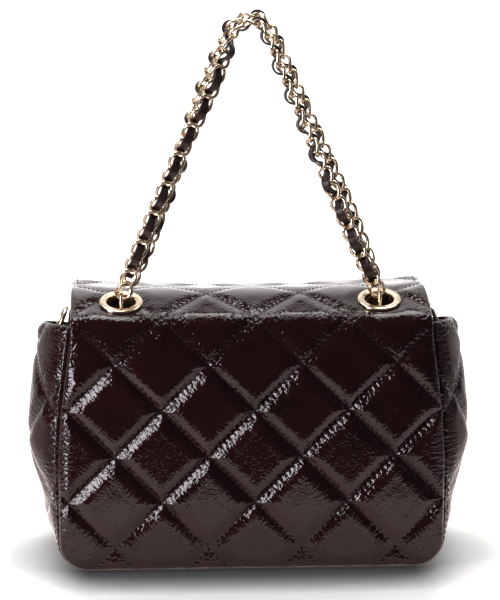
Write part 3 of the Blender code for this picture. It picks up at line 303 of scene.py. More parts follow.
class StudioSettings(bpy.types.PropertyGroup):
    azimuth: FloatProperty(
        name="Azimuth", description="Camera's turn round the bag, to its left", subtype="ANGLE",
        default=math.radians(3.0))
    elevation: FloatProperty(
        name="Elevation", description="Camera's height above the horizon", subtype="ANGLE",
        default=math.radians(12.5))
    distance: FloatProperty(
        name="Distance", description="Camera's distance from the bag", unit="LENGTH", default=1.65, min=0.2)
    scale: FloatProperty(
        name="Scale", description="Image points to a millimetre at the bag's middle", default=2.156, min=0.1)
    target: FloatVectorProperty(
        name="Target", description="Point that the camera looks at", subtype="XYZ", size=3,
        default=(0.0009, 0.0, 0.1197))
    floor: FloatProperty(
        name="Floor", description="Lightness of the floor and the backdrop", default=0.86, **SHARE)
    mirrored: FloatProperty(
        name="Mirrored floor", description="Lightness of the floor as the lacquer and the metal see it",
        default=0.84, **SHARE)
    # Painted reflection: strength of the warm glow that the floor near the bag gives to mirror rays only; it is no
    # lamp
    sheen: FloatProperty(
        name="Floor sheen", description="Warm light that the floor by the bag gives off to mirrors",
        default=0.52, **SHARE)
    backdrop: FloatProperty(
        name="Backdrop", description="Light that the backdrop gives off to the camera and to mirrors",
        default=0.70, **SHARE)
    dark: FloatProperty(
        name="Studio dark", description="Lightness of the unlit studio, as the lacquer and the metal see it",
        default=0.075, **SHARE)


class BagSettings(bpy.types.PropertyGroup):
    leather: PointerProperty(type=LeatherSettings)
    metal: PointerProperty(type=MetalSettings)
    studio: PointerProperty(type=StudioSettings)


def settings():
    return bpy.context.scene.flap_bag


def halved(test, low, high, close=WELD):
    """Closes in on the value at which a test turns true: the last that fails and the first that passes."""
    while high - low > close:
        middle = (low + high) / 2
        low, high = (low, middle) if test(middle) else (middle, high)
    return low, high


class Path:
    """Straight runs joined by round fillets in one plane; its left side is the outside of the bag."""

    def __init__(self, corners, radii):
        self.pieces = []
        self.length = 0.0
        start = Vector(corners[0])
        for before, corner, after, radius in zip(corners, corners[1:], corners[2:], radii):
            heading_in = (Vector(corner) - Vector(before)).normalized()
            heading_out = (Vector(after) - Vector(corner)).normalized()
            turn = math.atan2(heading_in.cross(heading_out), heading_in.dot(heading_out))
            back = radius * math.tan(abs(turn) / 2)
            arc_start = Vector(corner) - heading_in * back
            self.add_piece(start, heading_in, (arc_start - start).length, 0.0)
            self.add_piece(arc_start, heading_in, radius * abs(turn), turn)
            start = Vector(corner) + heading_out * back
        last = Vector(corners[-1])
        self.add_piece(start, (last - start).normalized(), (last - start).length, 0.0)

    def add_piece(self, start, heading, length, turn):
        self.pieces.append((self.length, start, math.atan2(heading.y, heading.x), length, turn))
        self.length += length

    def at(self, distance):
        """Point on the path and the direction to its outer side."""
        for begin, start, angle, length, turn in self.pieces:
            if distance <= begin + length:
                break
        along = distance - begin
        if turn:
            radius = length / turn
            centre = start + radius * Vector((-math.sin(angle), math.cos(angle)))
            angle += along / radius
            outer = Vector((-math.sin(angle), math.cos(angle)))
            return centre - radius * outer, outer
        heading = Vector((math.cos(angle), math.sin(angle)))
        return start + heading * along, Vector((-heading.y, heading.x))

    def find(self, test):
        """Distance at which the test on the point turns true."""
        return halved(lambda distance: test(self.at(distance)[0]), 0.0, self.length)[1]

    def fillet_middle(self, number):
        begin, _, _, length, _ = self.pieces[2 * number + 1]
        return begin + length / 2

    def facets(self, degrees):
        """Stretches between which the path turns by no more than so many degrees."""
        for begin, _, _, length, turn in self.pieces:
            steps = max(1, math.ceil(abs(turn) / math.radians(degrees)))
            for step in range(steps):
                yield begin + length * step / steps, begin + length * (step + 1) / steps

    def edges(self, inset=0.0):
        """Half planes whose common part is the inside of the path: a point, outer side and half length."""
        for start, end in self.facets(EDGE_BEND):
            point, outer = self.at((start + end) / 2)
            yield point - outer * inset, outer, (end - start) / 2


WIDEST = SIDE_CORNER[0]
HALF_DEPTH = DEPTH / 2
FRONT_Y = HALF_DEPTH - FRONT_SETBACK
SECTION = Path(
    ((-HALF_DEPTH, 0.0), (-HALF_DEPTH, SHOULDER_HEIGHT), (-CREST_SETBACK, CREST_HEIGHT),
     (HALF_DEPTH, FRONT_EDGE_HEIGHT), (HALF_DEPTH, FLAP_END_HEIGHT)),
    (SHOULDER_RADIUS, CREST_RADIUS, FRONT_EDGE_RADIUS))
MOUTH_RUN = SECTION.find(lambda point: point.y > MOUTH_HEIGHT)
EYELET_RUN = SECTION.find(lambda point: point.x > EYELET_Y)
FOLD_RUN = SECTION.fillet_middle(2)
OUTLINE = Path(
    ((MOUTH_HALF_WIDTH, MOUTH_HEIGHT), SIDE_CORNER, (FOOT_HALF_WIDTH, 0.0),
     (-FOOT_HALF_WIDTH, 0.0), (-SIDE_CORNER[0], SIDE_CORNER[1]), (-MOUTH_HALF_WIDTH, MOUTH_HEIGHT)),
    (SIDE_RADIUS, CORNER_RADIUS, CORNER_RADIUS, SIDE_RADIUS))
STRIP_BACK_Y = -HALF_DEPTH + BACK_THICKNESS + GAP
STRIP_FRONT_Y = FRONT_Y - FRONT_THICKNESS - GAP
STRIP_MIDDLE_Y = (STRIP_BACK_Y + STRIP_FRONT_Y) / 2
STRIP_HALF_DEPTH = (STRIP_FRONT_Y - STRIP_BACK_Y) / 2
GUSSET_RUN = OUTLINE.find(lambda point: point.x < GUSSET_END_X)
SPLIT_RUN = SECTION.find(lambda point: point.x > HALF_DEPTH / 3)


def smooth_step(value):
    value = min(max(value, 0.0), 1.0)
    return value * value * (3 - 2 * value)


def smooth_from(value, start, length):
    return smooth_step((value - start) / length)


def smooth_table(table, share):
    """Values read smoothly from a table whose rows start with a share."""
    for row, following in zip(table, table[1:]):
        if share <= following[0]:
            break
    part = smooth_step((share - row[0]) / (following[0] - row[0]))
    return [start + (end - start) * part for start, end in zip(row[1:], following[1:])]


def pillow(distance):
    """Rise of the quilting at a distance from the nearest seam: a steep side that levels out."""
    look = settings().leather
    side, flat = look.shoulder, look.level - look.shoulder
    part = min(max((distance - side) / flat, 0.0), 1.0)
    return math.tan(look.slope) * (max(min(distance, side), 0.0) + flat * (part - part ** 3 + part ** 4 / 2))


def fold(value):
    return abs(value - round(value))


class Skin:
    """A flat quilted pattern piece: u runs across, v along, and bend takes it to its place on the bag."""

    def __init__(self, low, high, bend, node=QUILT_NODE, edges=(), puff=1.0, rim=RIM, holes=()):
        self.low, self.high, self.bend, self.node = low, high, bend, node
        self.edges, self.puff, self.rim, self.holes = list(edges), puff, rim, holes

    def pattern(self, place):
        across, along = (place[0] - self.node[0]) / QUILT_WIDTH, (place[1] - self.node[1]) / QUILT_HEIGHT
        return across + along, across - along

    def reach(self, place):
        """Distance to the nearest sewn edge."""
        return min(((point - place).dot(outer) for point, outer, _ in self.edges_at(place)), default=1.0)

    def edges_at(self, place):
        return self.edges

    def puff_at(self, place):
        return self.puff

    def rise(self, place):
        place = Vector(place[:2])
        seam = min(fold(value) for value in self.pattern(place)) * SEAM_SPACING
        reach = self.reach(place)
        hole = min(((place - centre).length - radius for centre, radius in self.holes), default=1.0)
        rise = pillow(min(seam, reach, hole)) * self.puff_at(place)
        if reach < self.rim:
            rise -= self.rim - math.sqrt(max(self.rim ** 2 - (self.rim - reach) ** 2, 0.0))
        return rise

    def at(self, place, lift=0.0):
        return self.bend(Vector(place[:2]), self.rise(place) + lift)

    def mesh(self):
        """Grid whose squares line up with the quilting, cut to its edges, raised and bent."""
        cell = Vector((QUILT_WIDTH, QUILT_HEIGHT)) / QUILT_CELLS
        first = [math.floor((low - node) / step) for low, node, step in zip(self.low, self.node, cell)]
        last = [math.ceil((high - node) / step) for high, node, step in zip(self.high, self.node, cell)]
        count = [end - start for start, end in zip(first, last)]
        size = [number * step for number, step in zip(count, cell)]
        middle = [node + (end + start) / 2 * step for node, start, end, step in zip(self.node, first, last, cell)]
        bm = bmesh.new()
        bmesh.ops.create_grid(
            bm, x_segments=count[0], y_segments=count[1], size=0.5,
            matrix=Matrix.Translation((*middle, 0.0)) @ Matrix.Diagonal((*size, 1.0, 1.0)))
        if self.puff:
            on_seam = [vert for vert in bm.verts
                       if min(fold(value) for value in self.pattern(vert.co)) < 1 / QUILT_CELLS / 4]
            bmesh.ops.connect_verts(bm, verts=on_seam)
        self.trim(bm)
        pattern = bm.loops.layers.uv.new("Pattern")
        for face in bm.faces:
            for loop in face.loops:
                loop[pattern].uv = self.pattern(loop.vert.co)
        reach = bm.verts.layers.float.new("Reach")
        for vert in bm.verts:
            vert[reach] = self.reach(vert.co.xy)
            vert.co = self.at(vert.co)
        return bm

    def trim(self, bm):
        for corner, outer in ((self.low, (-1, 0)), (self.high, (1, 0)), (self.low, (0, -1)), (self.high, (0, 1))):
            bisect(bm, bm.faces, Vector(corner), Vector(outer), cut=True)
        for point, outer, half in self.edges:
            self.trim_edge(bm, bm.faces[:], point, outer, half)
        for centre, radius in self.holes:
            inside = [face for face in bm.faces
                      if (face.calc_center_median().xy - centre).length < radius - CUT_NEAR]
            bmesh.ops.delete(bm, geom=inside, context="FACES")

    def trim_edge(self, bm, faces, point, outer, half):
        def ahead(face, way):
            return (face.calc_center_median().xy - point).dot(way)
        bisect(bm, [face for face in faces if ahead(face, outer) > -CUT_BEYOND], point, outer, cut=True)
        tangent = Vector((-outer.y, outer.x))
        for step in RIM_STEPS:
            near = [face for face in bm.faces
                    if abs(ahead(face, tangent)) < half + CUT_NEAR and -ahead(face, outer) < step + CUT_NEAR]
            bisect(bm, near, point - outer * step, outer)


def bisect(bm, faces, point, outer, cut=False):
    faces = list(faces)
    if not faces:
        return
    edges = {edge for face in faces for edge in face.edges}
    verts = {vert for face in faces for vert in face.verts}
    bmesh.ops.bisect_plane(bm, geom=list(verts) + list(edges) + faces, dist=WELD, plane_co=point.to_3d(),
                           plane_no=outer.to_3d(), clear_outer=cut)


class FlapSkin(Skin):
    """The quilting of the cover, which gets flatter over the shoulder and the top."""

    def puff_at(self, place):
        return cover_puff(place.y)


class CoverSkin(FlapSkin):
    """The back wall up over the shoulder: its lower part is cut to the bag's outline."""

    def edges_at(self, place):
        return BACK_EDGES if place.y < MOUTH_RUN else FLAP_EDGES

    def trim(self, bm):
        super().trim(bm)
        bisect(bm, bm.faces, Vector((0.0, MOUTH_RUN)), Vector((0.0, 1.0)))
        for edges, lower in ((BACK_EDGES, True), (FLAP_EDGES, False)):
            for point, outer, half in edges:
                part = [face for face in bm.faces if (face.calc_center_median().y < MOUTH_RUN) == lower]
                self.trim_edge(bm, part, point, outer, half)


def straight_edge(point, outer):
    """A sewn edge longer than any piece: a point on it, its outer side and half its length."""
    return Vector(point), Vector(outer), 1.0


BACK_EDGES = list(OUTLINE.edges(PANEL_INSET))
TAPER = math.atan((MOUTH_HALF_WIDTH - PANEL_INSET - FLAP_HALF_WIDTH) / (SPLIT_RUN - MOUTH_RUN))
FLAP_EDGES = [straight_edge((side * FLAP_HALF_WIDTH, SPLIT_RUN), (side * math.cos(TAPER), math.sin(TAPER)))
              for side in (1, -1)]


def cover_puff(run):
    """Share of the full puff along the cover: less at the foot, over the shoulder and the top."""
    top = settings().leather.top
    fall = smooth_from(run, *TOP_CHANGE)
    again = smooth_from(run - FOLD_RUN, *AFTER_FOLD_CHANGE)
    foot = FOOT_PUFF + (1 - FOOT_PUFF) * smooth_from(run, *FOOT_CHANGE)
    return foot * (1 - (1 - top) * fall * (1 - again))


def belly(u, height):
    """How far the back bows out, most in its middle and nothing at its edges."""
    sideways = max(1 - (u / WIDEST) ** 2, 0.0)
    share = min(max(height / SHOULDER_HEIGHT, 0.0), 1.0)
    return settings().leather.belly * sideways * 4 * share * (1 - share)


def sag(x, run):
    """How far the top of the flap hangs under its straight line, most over the front fold."""
    drop = FOLD_SAG[0] + FOLD_SAG[1] * max(1 - (x / FLAP_HALF_WIDTH) ** 2, 0.0)
    before = smooth_from(run - EYELET_RUN, SAG_START, FOLD_RUN - EYELET_RUN - SAG_FULL)
    return drop * before * (1 - smooth_from(run - FOLD_RUN, *SAG_END))


def section_bend(depth=0.0):
    """Bend to the section of the bag, at a depth under the outer leather."""
    def bend(place, rise):
        point, outer = SECTION.at(place.y)
        point = point + outer * (rise - depth + belly(place.x, place.y))
        point.y -= sag(place.x, place.y)
        return Vector((place.x, point.x, point.y))
    return bend


def front_bend(place, rise):
    return Vector((place.x, FRONT_Y + rise, place.y))


def bulge_share(run):
    return smooth_table(BULGE_TABLE, run / GUSSET_RUN)[0]


def gusset_point(run, y, rise, side, square=False):
    """Place on a gusset, bulging out between its sewn edges; rise is square to the leather or the outline."""
    point, outer = OUTLINE.at(run)
    place = (y - STRIP_MIDDLE_Y) / STRIP_HALF_DEPTH
    bulge = GUSSET_BULGE * bulge_share(run)
    slope = bulge * BULGE_POWER * abs(place) ** (BULGE_POWER - 1) / STRIP_HALF_DEPTH
    slope = math.atan(math.copysign(slope, place))
    out = bulge * (1 - min(abs(place), 1.0) ** BULGE_POWER)
    if square:
        point = point + outer * (out + rise / math.cos(slope))
        return Vector((side * point.x, y, point.y))
    point = point + outer * (out + rise * math.cos(slope))
    return Vector((side * point.x, y + rise * math.sin(slope), point.y))


def slanted(run, y):
    """Run down a gusset whose mouth falls from the back to the front."""
    fall = RIM_FALL * (y - STRIP_MIDDLE_Y) / STRIP_HALF_DEPTH
    return run + fall * max(1 - run / GUSSET_RUN, 0.0)


# Pieces

def new_object(name, data):
    item = bpy.data.objects.new(name, data)
    bpy.context.scene.collection.objects.link(item)
    return item


def new_mesh(name, bm):
    mesh = bpy.data.meshes.new(name)
    bm.to_mesh(mesh)
    bm.free()
    return mesh


def add_piece(name, bm, material, body, replaces=(), sharp=40, thickness=0.0, bevel=0.0):
    """Make the object, give it a wall or rounded edges, and tie it to its body; a piece given two bodies is only
    baked in place and tied to neither."""
    item = new_object(name, new_mesh(name, bm))
    item.data.materials.append(material)
    if thickness:
        wall = item.modifiers.new("wall", "SOLIDIFY")
        wall.thickness, wall.offset, wall.use_even_offset = thickness, -1, True
        wall.use_quality_normals = True
    if bevel:
        round_edges = item.modifiers.new("round edges", "BEVEL")
        round_edges.width, round_edges.segments, round_edges.limit_method = bevel, BEVEL_SEGMENTS, "ANGLE"
        round_edges.angle_limit = BEVEL_FROM
    if item.modifiers:
        settle(item)
    item.data.shade_smooth()
    item.data.set_sharp_from_angle(angle=math.radians(sharp))
    if replaces:
        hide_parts(*replaces)
    if isinstance(body, str):
        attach(item, body)
    else:
        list(body)
        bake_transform(item)


def quilted(name, bm, body, nodes, thickness):
    add_piece(name, bm, patent_material(), body, nodes, thickness=thickness)


def sewn(name, rows, body, size=STITCH_SIZE):
    add_piece(name, stitches(rows, *size), thread_material(), body)


def gold(name, bm, node, body="bag_body"):
    add_piece(name, bm, gold_material(), body, (node,))


def paint(node, material):
    """Gives a CAD node, shown as it is, its material."""
    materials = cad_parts[node].data.materials
    materials.clear()
    materials.append(material)


def settle(item):
    """Turn the modifiers into mesh."""
    graph = bpy.context.evaluated_depsgraph_get()
    mesh = bpy.data.meshes.new_from_object(item.evaluated_get(graph), depsgraph=graph)
    item.modifiers.clear()
    old = item.data
    item.data = mesh
    bpy.data.meshes.remove(old)
    mesh.name = item.name


def flipped(bm):
    bmesh.ops.reverse_faces(bm, faces=bm.faces[:])
    return bm


def axes(place, *directions):
    """Matrix of a place and the directions of its three axes."""
    matrix = Matrix(directions).transposed().to_4x4()
    matrix.translation = place
    return matrix


def on_section(x, run):
    """Frame on the leather: its Z axis points out of the bag."""
    point, outer = SECTION.at(run)
    out = Vector((0.0, outer.x, outer.y))
    sideways = Vector((1.0, 0.0, 0.0))
    return axes((x, point.x, point.y), sideways, out.cross(sideways), out)


def path_points(path, degrees):
    return [path.at(start)[0] for start, end in path.facets(degrees) if end - start > WELD]


def oblong(near, far, low, high):
    """Closed outline of an oblong, from the middle of its near side."""
    middle = (low + high) / 2
    return (near, middle), (near, high), (far, high), (far, low), (near, low), (near, middle)


def turned(corners, radii, place):
    """A ring spun from a closed outline whose corners are rounded."""
    points = path_points(Path(corners, radii), TURNED_BEND)
    bm = bmesh.new()
    verts = [bm.verts.new((point.x, 0.0, point.y)) for point in points]
    edges = [bm.edges.new(pair) for pair in zip(verts, verts[1:] + verts[:1])]
    bmesh.ops.spin(bm, geom=verts + edges, cent=(0, 0, 0), axis=(0, 0, 1), angle=2 * math.pi,
                   steps=settings().metal.steps, use_merge=True)
    bmesh.ops.remove_doubles(bm, verts=bm.verts[:], dist=WELD)
    bmesh.ops.recalc_face_normals(bm, faces=bm.faces[:])
    bmesh.ops.transform(bm, matrix=place, verts=bm.verts[:])
    return bm


def wires(lines, radius, round_steps=3):
    """Closed wires of one radius, swept along their centre lines."""
    curve = bpy.data.curves.new("wires", "CURVE")
    curve.dimensions, curve.bevel_depth, curve.bevel_resolution = "3D", radius, round_steps
    for line in lines:
        spline = curve.splines.new("POLY")
        spline.points.add(len(line) - 1)
        spline.use_cyclic_u = True
        for point, place in zip(spline.points, line):
            point.co = (*place, 1.0)
    item = bpy.data.objects.new("wires", curve)
    mesh = bpy.data.meshes.new_from_object(item)
    bm = bmesh.new()
    bm.from_mesh(mesh)
    bpy.data.objects.remove(item)
    bpy.data.curves.remove(curve)
    bpy.data.meshes.remove(mesh)
    return bm


def stitches(rows, width, height):
    """Short thread stitches in rows; each row is a function from a distance to a place and an out direction,
    with its length."""
    length = STITCH - STITCH_GAP
    bm, part = bmesh.new(), bpy.data.meshes.new("stitches")
    for place_at, reach in rows:
        row = bmesh.new()
        count = max(1, round(reach / STITCH))
        for index in range(count):
            begin = reach * (index + 0.5) / count - length / 2
            start, out = place_at(max(begin, 0.0))
            end, _ = place_at(min(begin + length, reach))
            heading = (end - start).normalized()
            side = out.cross(heading).normalized()
            place = axes((start + end) / 2, heading * length, side * width, heading.cross(side) * height)
            bmesh.ops.create_uvsphere(row, u_segments=6, v_segments=4, radius=0.5,
                                      matrix=place @ Matrix.Rotation(math.pi / 2, 4, "Y"))
        row.to_mesh(part)
        row.free()
        bm.from_mesh(part)
    bpy.data.meshes.remove(part)
    return bm


def seam_lines(skin, margin=SEAM_MARGIN):
    """The quilting seams that cross a skin, each as a run between its ends."""
    rows = []
    corners = [skin.pattern((u, v)) for u in (skin.low[0], skin.high[0]) for v in (skin.low[1], skin.high[1])]
    for kind in (0, 1):
        values = [corner[kind] for corner in corners]
        for number in range(math.ceil(min(values)), math.floor(max(values)) + 1):
            rows += seam_runs(skin, kind, number, margin)
    return rows


def seam_runs(skin, kind, number, margin):
    """Stretches of one seam that lie on the skin, clear of its edges and holes."""
    start = Vector(skin.node) + Vector((number * QUILT_WIDTH / 2, (1 - 2 * kind) * number * QUILT_HEIGHT / 2))
    heading = Vector((QUILT_WIDTH, (2 * kind - 1) * QUILT_HEIGHT)).normalized()

    def clear(index):
        place = start + heading * index * STITCH
        return (skin.low[0] < place.x < skin.high[0] and skin.low[1] < place.y < skin.high[1]
                and skin.reach(place) > margin
                and all((place - centre).length > radius + margin for centre, radius in skin.holes))
    runs = [list(part) for inside, part in groupby(range(-SEAM_REACH, SEAM_REACH + 1), clear) if inside]
    ends = [(run[0] * STITCH, run[-1] * STITCH) for run in runs]
    return [seam_run(skin, start + heading * low, heading, high - low)
            for low, high in ends if high - low > SHORTEST_ROW]


def seam_run(skin, start, heading, length):
    ahead, aside, above = PROBE

    def place_at(distance):
        place = start + heading * distance
        here = skin.at(place, THREAD_LIFT)
        side = Vector((-heading.y, heading.x)) * aside
        out = (skin.at(place + heading * ahead) - here).cross(skin.at(place + side) - skin.at(place - side))
        lifted = skin.at(place, above) - here
        return here, (out if out.dot(lifted) > 0 else -out).normalized()
    return place_at, length


def edge_run(skin, start, end):
    """A straight row of stitches on a skin between two places of its pattern."""
    start, end = Vector(start), Vector(end)
    return seam_run(skin, start, (end - start).normalized(), (end - start).length)


# Materials

def set_inputs(tree, node, **inputs):
    """Sets or links a node's inputs; an underscore stands for the space in an input's name."""
    for name, value in inputs.items():
        connect(tree, value, node.inputs[name.replace("_", " ")])
    return node


def connect(tree, value, socket):
    if isinstance(value, bpy.types.NodeSocket):
        tree.links.new(value, socket)
    else:
        socket.default_value = value


def new_node(tree, kind, **inputs):
    return set_inputs(tree, tree.nodes.new("ShaderNode" + kind), **inputs)


def ramp(tree, factor, stops):
    node = new_node(tree, "ValToRGB", Fac=factor)
    for element, (position, colour) in zip(node.color_ramp.elements, stops):
        element.position, element.color = position, (*colour, 1.0)
    return node.outputs[0]


def operation_node(tree, kind, operation, values):
    node = new_node(tree, kind)
    node.operation = operation
    for socket, value in zip(node.inputs, values):
        connect(tree, value, socket)
    return node.outputs[0]


def math_node(tree, operation, *values):
    return operation_node(tree, "Math", operation, values)


def vector_node(tree, operation, *values):
    return operation_node(tree, "VectorMath", operation, values)


def noise_node(tree, vector, scale, detail=2.0, roughness=0.5, distortion=0.0, stretch=None):
    """Noise of the given scale, its vector first stretched by a factor for each axis."""
    if stretch:
        vector = vector_node(tree, "MULTIPLY", vector, stretch)
    node = new_node(tree, "TexNoise", Vector=vector, Scale=scale, Detail=detail, Roughness=roughness,
                    Distortion=distortion)
    return node.outputs["Fac"]


def split_vector(tree, vector):
    return new_node(tree, "SeparateXYZ", Vector=vector).outputs


def smooth_range(tree, value, low, high, to_low=0.0, to_high=1.0):
    node = new_node(tree, "MapRange", Value=value, From_Min=low, From_Max=high, To_Min=to_low, To_Max=to_high)
    node.interpolation_type = "SMOOTHSTEP"
    return node.outputs["Result"]


VECTOR, FLOAT = "NodeSocketVector", "NodeSocketFloat"


def node_group(name, inputs, outputs, build):
    """A shader node group with named sockets, made once."""
    tree = bpy.data.node_groups.get(name)
    if tree:
        return tree
    tree = bpy.data.node_groups.new(name, "ShaderNodeTree")
    for socket, kind, value in inputs:
        made = tree.interface.new_socket(socket, in_out="INPUT", socket_type=kind)
        if value is not None:
            made.default_value = value
    for socket, kind in outputs:
        tree.interface.new_socket(socket, in_out="OUTPUT", socket_type=kind)
    given, result = tree.nodes.new("NodeGroupInput"), tree.nodes.new("NodeGroupOutput")
    build(tree, given.outputs, result.inputs)
    return tree


def crinkle_group():
    """Fine crinkles of lacquered leather: ridges square to the seams, puckers at the stitches, a net of wrinkles
    between the seams, and creases along the hem."""
    def build(tree, given, result):
        p, q, _ = split_vector(tree, given["Pattern"])
        parts = []
        for across, along, stretch in ((p, q, (8.0, 25.0, 1.0)), (q, p, (25.0, 8.0, 1.0))):
            seam = math_node(tree, "PINGPONG", across, 0.5)
            shoulder = math_node(tree, "MULTIPLY", smooth_range(tree, seam, 0.03, 0.15, 0.35, 1.0),
                                 smooth_range(tree, seam, 0.18, 0.34, 1.0, 0.0))
            noise = noise_node(tree, given["Pattern"], 1.0, 0.0, distortion=0.5, stretch=stretch)
            stitch = math_node(tree, "PINGPONG", math_node(tree, "MULTIPLY", along, float(STITCHES)), 0.5)
            pucker = math_node(tree, "MULTIPLY", smooth_range(tree, seam, 0.0, 0.075, 1.0, 0.0),
                               smooth_range(tree, stitch, 0.0, 0.4, -0.5, 0.0))
            parts.append((math_node(tree, "MULTIPLY", shoulder, noise), pucker))
        ridges, puckers = (math_node(tree, "ADD", *pair) for pair in zip(*parts))
        net = noise_node(tree, given["Pattern"], 1.0, 0.0, distortion=1.3, stretch=(21.0, 21.0, 1.0))
        middle = math_node(tree, "MULTIPLY", net, given["Net"])
        hem = noise_node(tree, given["Vector"], 1.0, 0.0, distortion=0.4, stretch=(170.0, 170.0, 800.0))
        hem = math_node(tree, "MULTIPLY", hem, smooth_range(tree, given["Reach"], 0.0035, 0.0095, 1.0, 0.0))
        height = math_node(tree, "ADD", math_node(tree, "ADD", ridges, middle), math_node(tree, "ADD", puckers, hem))
        tree.links.new(height, result["Height"])
    return node_group(
        "Crinkle", (("Pattern", VECTOR, None), ("Vector", VECTOR, None), ("Reach", FLOAT, 1.0), ("Net", FLOAT, 0.4)),
        (("Height", FLOAT),), build)


def grain_group():
    """Pebbled grain of smooth leather, with slight changes of tone."""
    def build(tree, given, result):
        scaled = vector_node(tree, "SCALE", given["Vector"])
        set_inputs(tree, scaled.node, Scale=given["Scale"])
        cells = new_node(tree, "TexVoronoi", Vector=scaled, Scale=1.0)
        cells.feature = "F1"
        fine = noise_node(tree, scaled, 3.0, 3.0, 0.6)
        height = math_node(tree, "ADD", cells.outputs["Distance"], math_node(tree, "MULTIPLY", fine, 0.4))
        tree.links.new(height, result["Height"])
        tree.links.new(noise_node(tree, scaled, 0.09, 3.0, 0.6), result["Tone"])
    return node_group("Leather Grain", (("Vector", VECTOR, None), ("Scale", FLOAT, 1400.0)),
                      (("Height", FLOAT), ("Tone", FLOAT)), build)


def wear_group():
    """Soft clouding and hair scratches of polished metal."""
    def build(tree, given, result):
        cloud = noise_node(tree, given["Vector"], 260.0, 3.0, 0.6)
        scratch = noise_node(tree, given["Vector"], 1.0, stretch=(900.0, 4200.0, 900.0))
        tree.links.new(cloud, result["Cloud"])
        tree.links.new(scratch, result["Scratch"])
    return node_group("Metal Wear", (("Vector", VECTOR, None),), (("Cloud", FLOAT), ("Scratch", FLOAT)), build)


def new_material(name, colour, roughness, metallic=0.0, ior=1.45):
    material = bpy.data.materials.new(name)
    material.use_nodes = True
    shader = material.node_tree.nodes["Principled BSDF"]
    set_inputs(material.node_tree, shader, Base_Color=(*colour, 1.0), Roughness=roughness, Metallic=metallic,
               IOR=ior)
    return material, material.node_tree, shader


def place_group(tree, group, **inputs):
    node = new_node(tree, "Group")
    node.node_tree = group
    return set_inputs(tree, node, **inputs)


def bump(tree, shader, height, depth):
    node = new_node(tree, "Bump", Distance=depth, Height=height)
    set_inputs(tree, shader, Normal=node.outputs["Normal"])


def tones(tree, shader, factor, colour, spread):
    """Base colour that drifts a little either side of the given one."""
    dark = [value * (1 - spread) for value in colour]
    light = [min(value * (1 + spread), 1.0) for value in colour]
    set_inputs(tree, shader, Base_Color=ramp(tree, factor, ((0.3, dark), (0.7, light))))


def object_vector(tree):
    return new_node(tree, "TexCoord").outputs["Object"]


def grained(name, colour, roughness, scale, depth, spread, low, high):
    """Smooth leather with a pebbled grain, its sheen and tone drifting together."""
    material, tree, shader = new_material(name, colour, roughness)
    grain = place_group(tree, grain_group(), Vector=object_vector(tree), Scale=scale)
    bump(tree, shader, grain.outputs["Height"], depth)
    tones(tree, shader, grain.outputs["Tone"], colour, spread)
    set_inputs(tree, shader, Roughness=smooth_range(tree, grain.outputs["Tone"], 0.3, 0.7, low, high))
    return material


def once(maker):
    """Each material is made once and then shared."""
    name = maker.__name__.removesuffix("_material")

    def made():
        return bpy.data.materials.get(name) or maker(name)
    return made


@once
def patent_material(name):
    look = settings().leather
    material, tree, shader = new_material(name, look.patent, 0.06, ior=1.42)
    pattern = new_node(tree, "UVMap")
    pattern.uv_map = "Pattern"
    reach = new_node(tree, "Attribute")
    reach.attribute_name = "Reach"
    place = object_vector(tree)
    crinkle = place_group(tree, crinkle_group(), Pattern=pattern.outputs[0], Vector=place,
                          Reach=reach.outputs["Fac"], Net=0.40)
    height = split_vector(tree, place)[2]
    shoulder = smooth_range(tree, height, 0.104, 0.114, 1.0, 1.5)
    top = smooth_range(tree, height, 0.1185, 0.1225, 1.0, 0.3)
    strength = math_node(tree, "MULTIPLY", shoulder, top)
    bump(tree, shader, math_node(tree, "MULTIPLY", crinkle.outputs["Height"], strength), look.crinkle)
    tones(tree, shader, noise_node(tree, place, 60.0, 3.0, 0.6), look.patent, 0.25)
    haze = noise_node(tree, place, 900.0)
    set_inputs(tree, shader, Roughness=smooth_range(tree, haze, 0.3, 0.75, 0.035, 0.075))
    return material


@once
def facing_material(name):
    return grained(name, settings().leather.facing, 0.38, 1500.0, 0.00008, 0.3, 0.32, 0.48)


@once
def ribbon_material(name):
    return grained(name, settings().leather.ribbon, 0.30, 2600.0, 0.00006, 0.35, 0.22, 0.40)


@once
def lining_material(name):
    look = settings().leather
    material, tree, shader = new_material(name, look.lining, 0.82)
    set_inputs(tree, shader, Sheen_Weight=0.25, Sheen_Roughness=0.5)
    place, waves = object_vector(tree), []
    for turn in (math.pi / 4, -math.pi / 4):
        mapping = new_node(tree, "Mapping", Vector=place, Rotation=(turn, turn, 0.0))
        wave = new_node(tree, "TexWave", Vector=mapping.outputs["Vector"], Scale=480.0, Distortion=0.6, Detail=1.0)
        waves.append(wave.outputs["Fac"])
    weave = math_node(tree, "MAXIMUM", *waves)
    bump(tree, shader, weave, 0.0001)
    tones(tree, shader, weave, look.lining, 0.35)
    return material


@once
def board_material(name):
    colour = (0.24, 0.20, 0.16)
    material, tree, shader = new_material(name, colour, 0.9)
    fibre = noise_node(tree, object_vector(tree), 1.0, 4.0, 0.65, stretch=(300.0, 1400.0, 1400.0))
    bump(tree, shader, fibre, 0.00012)
    tones(tree, shader, fibre, colour, 0.3)
    return material


def polished(name, colour, low, high):
    material, tree, shader = new_material(name, colour, (low + high) / 2, metallic=1.0)
    wear = place_group(tree, wear_group(), Vector=object_vector(tree))
    set_inputs(tree, shader, Roughness=smooth_range(tree, wear.outputs["Cloud"], 0.3, 0.75, low, high))
    tones(tree, shader, wear.outputs["Cloud"], colour, 0.06)
    bump(tree, shader, wear.outputs["Scratch"], 0.000004)
    return material


@once
def gold_material(name):
    return polished(name, settings().metal.gold, 0.16, 0.30)


@once
def snap_material(name):
    return polished(name, settings().metal.snap, 0.22, 0.38)


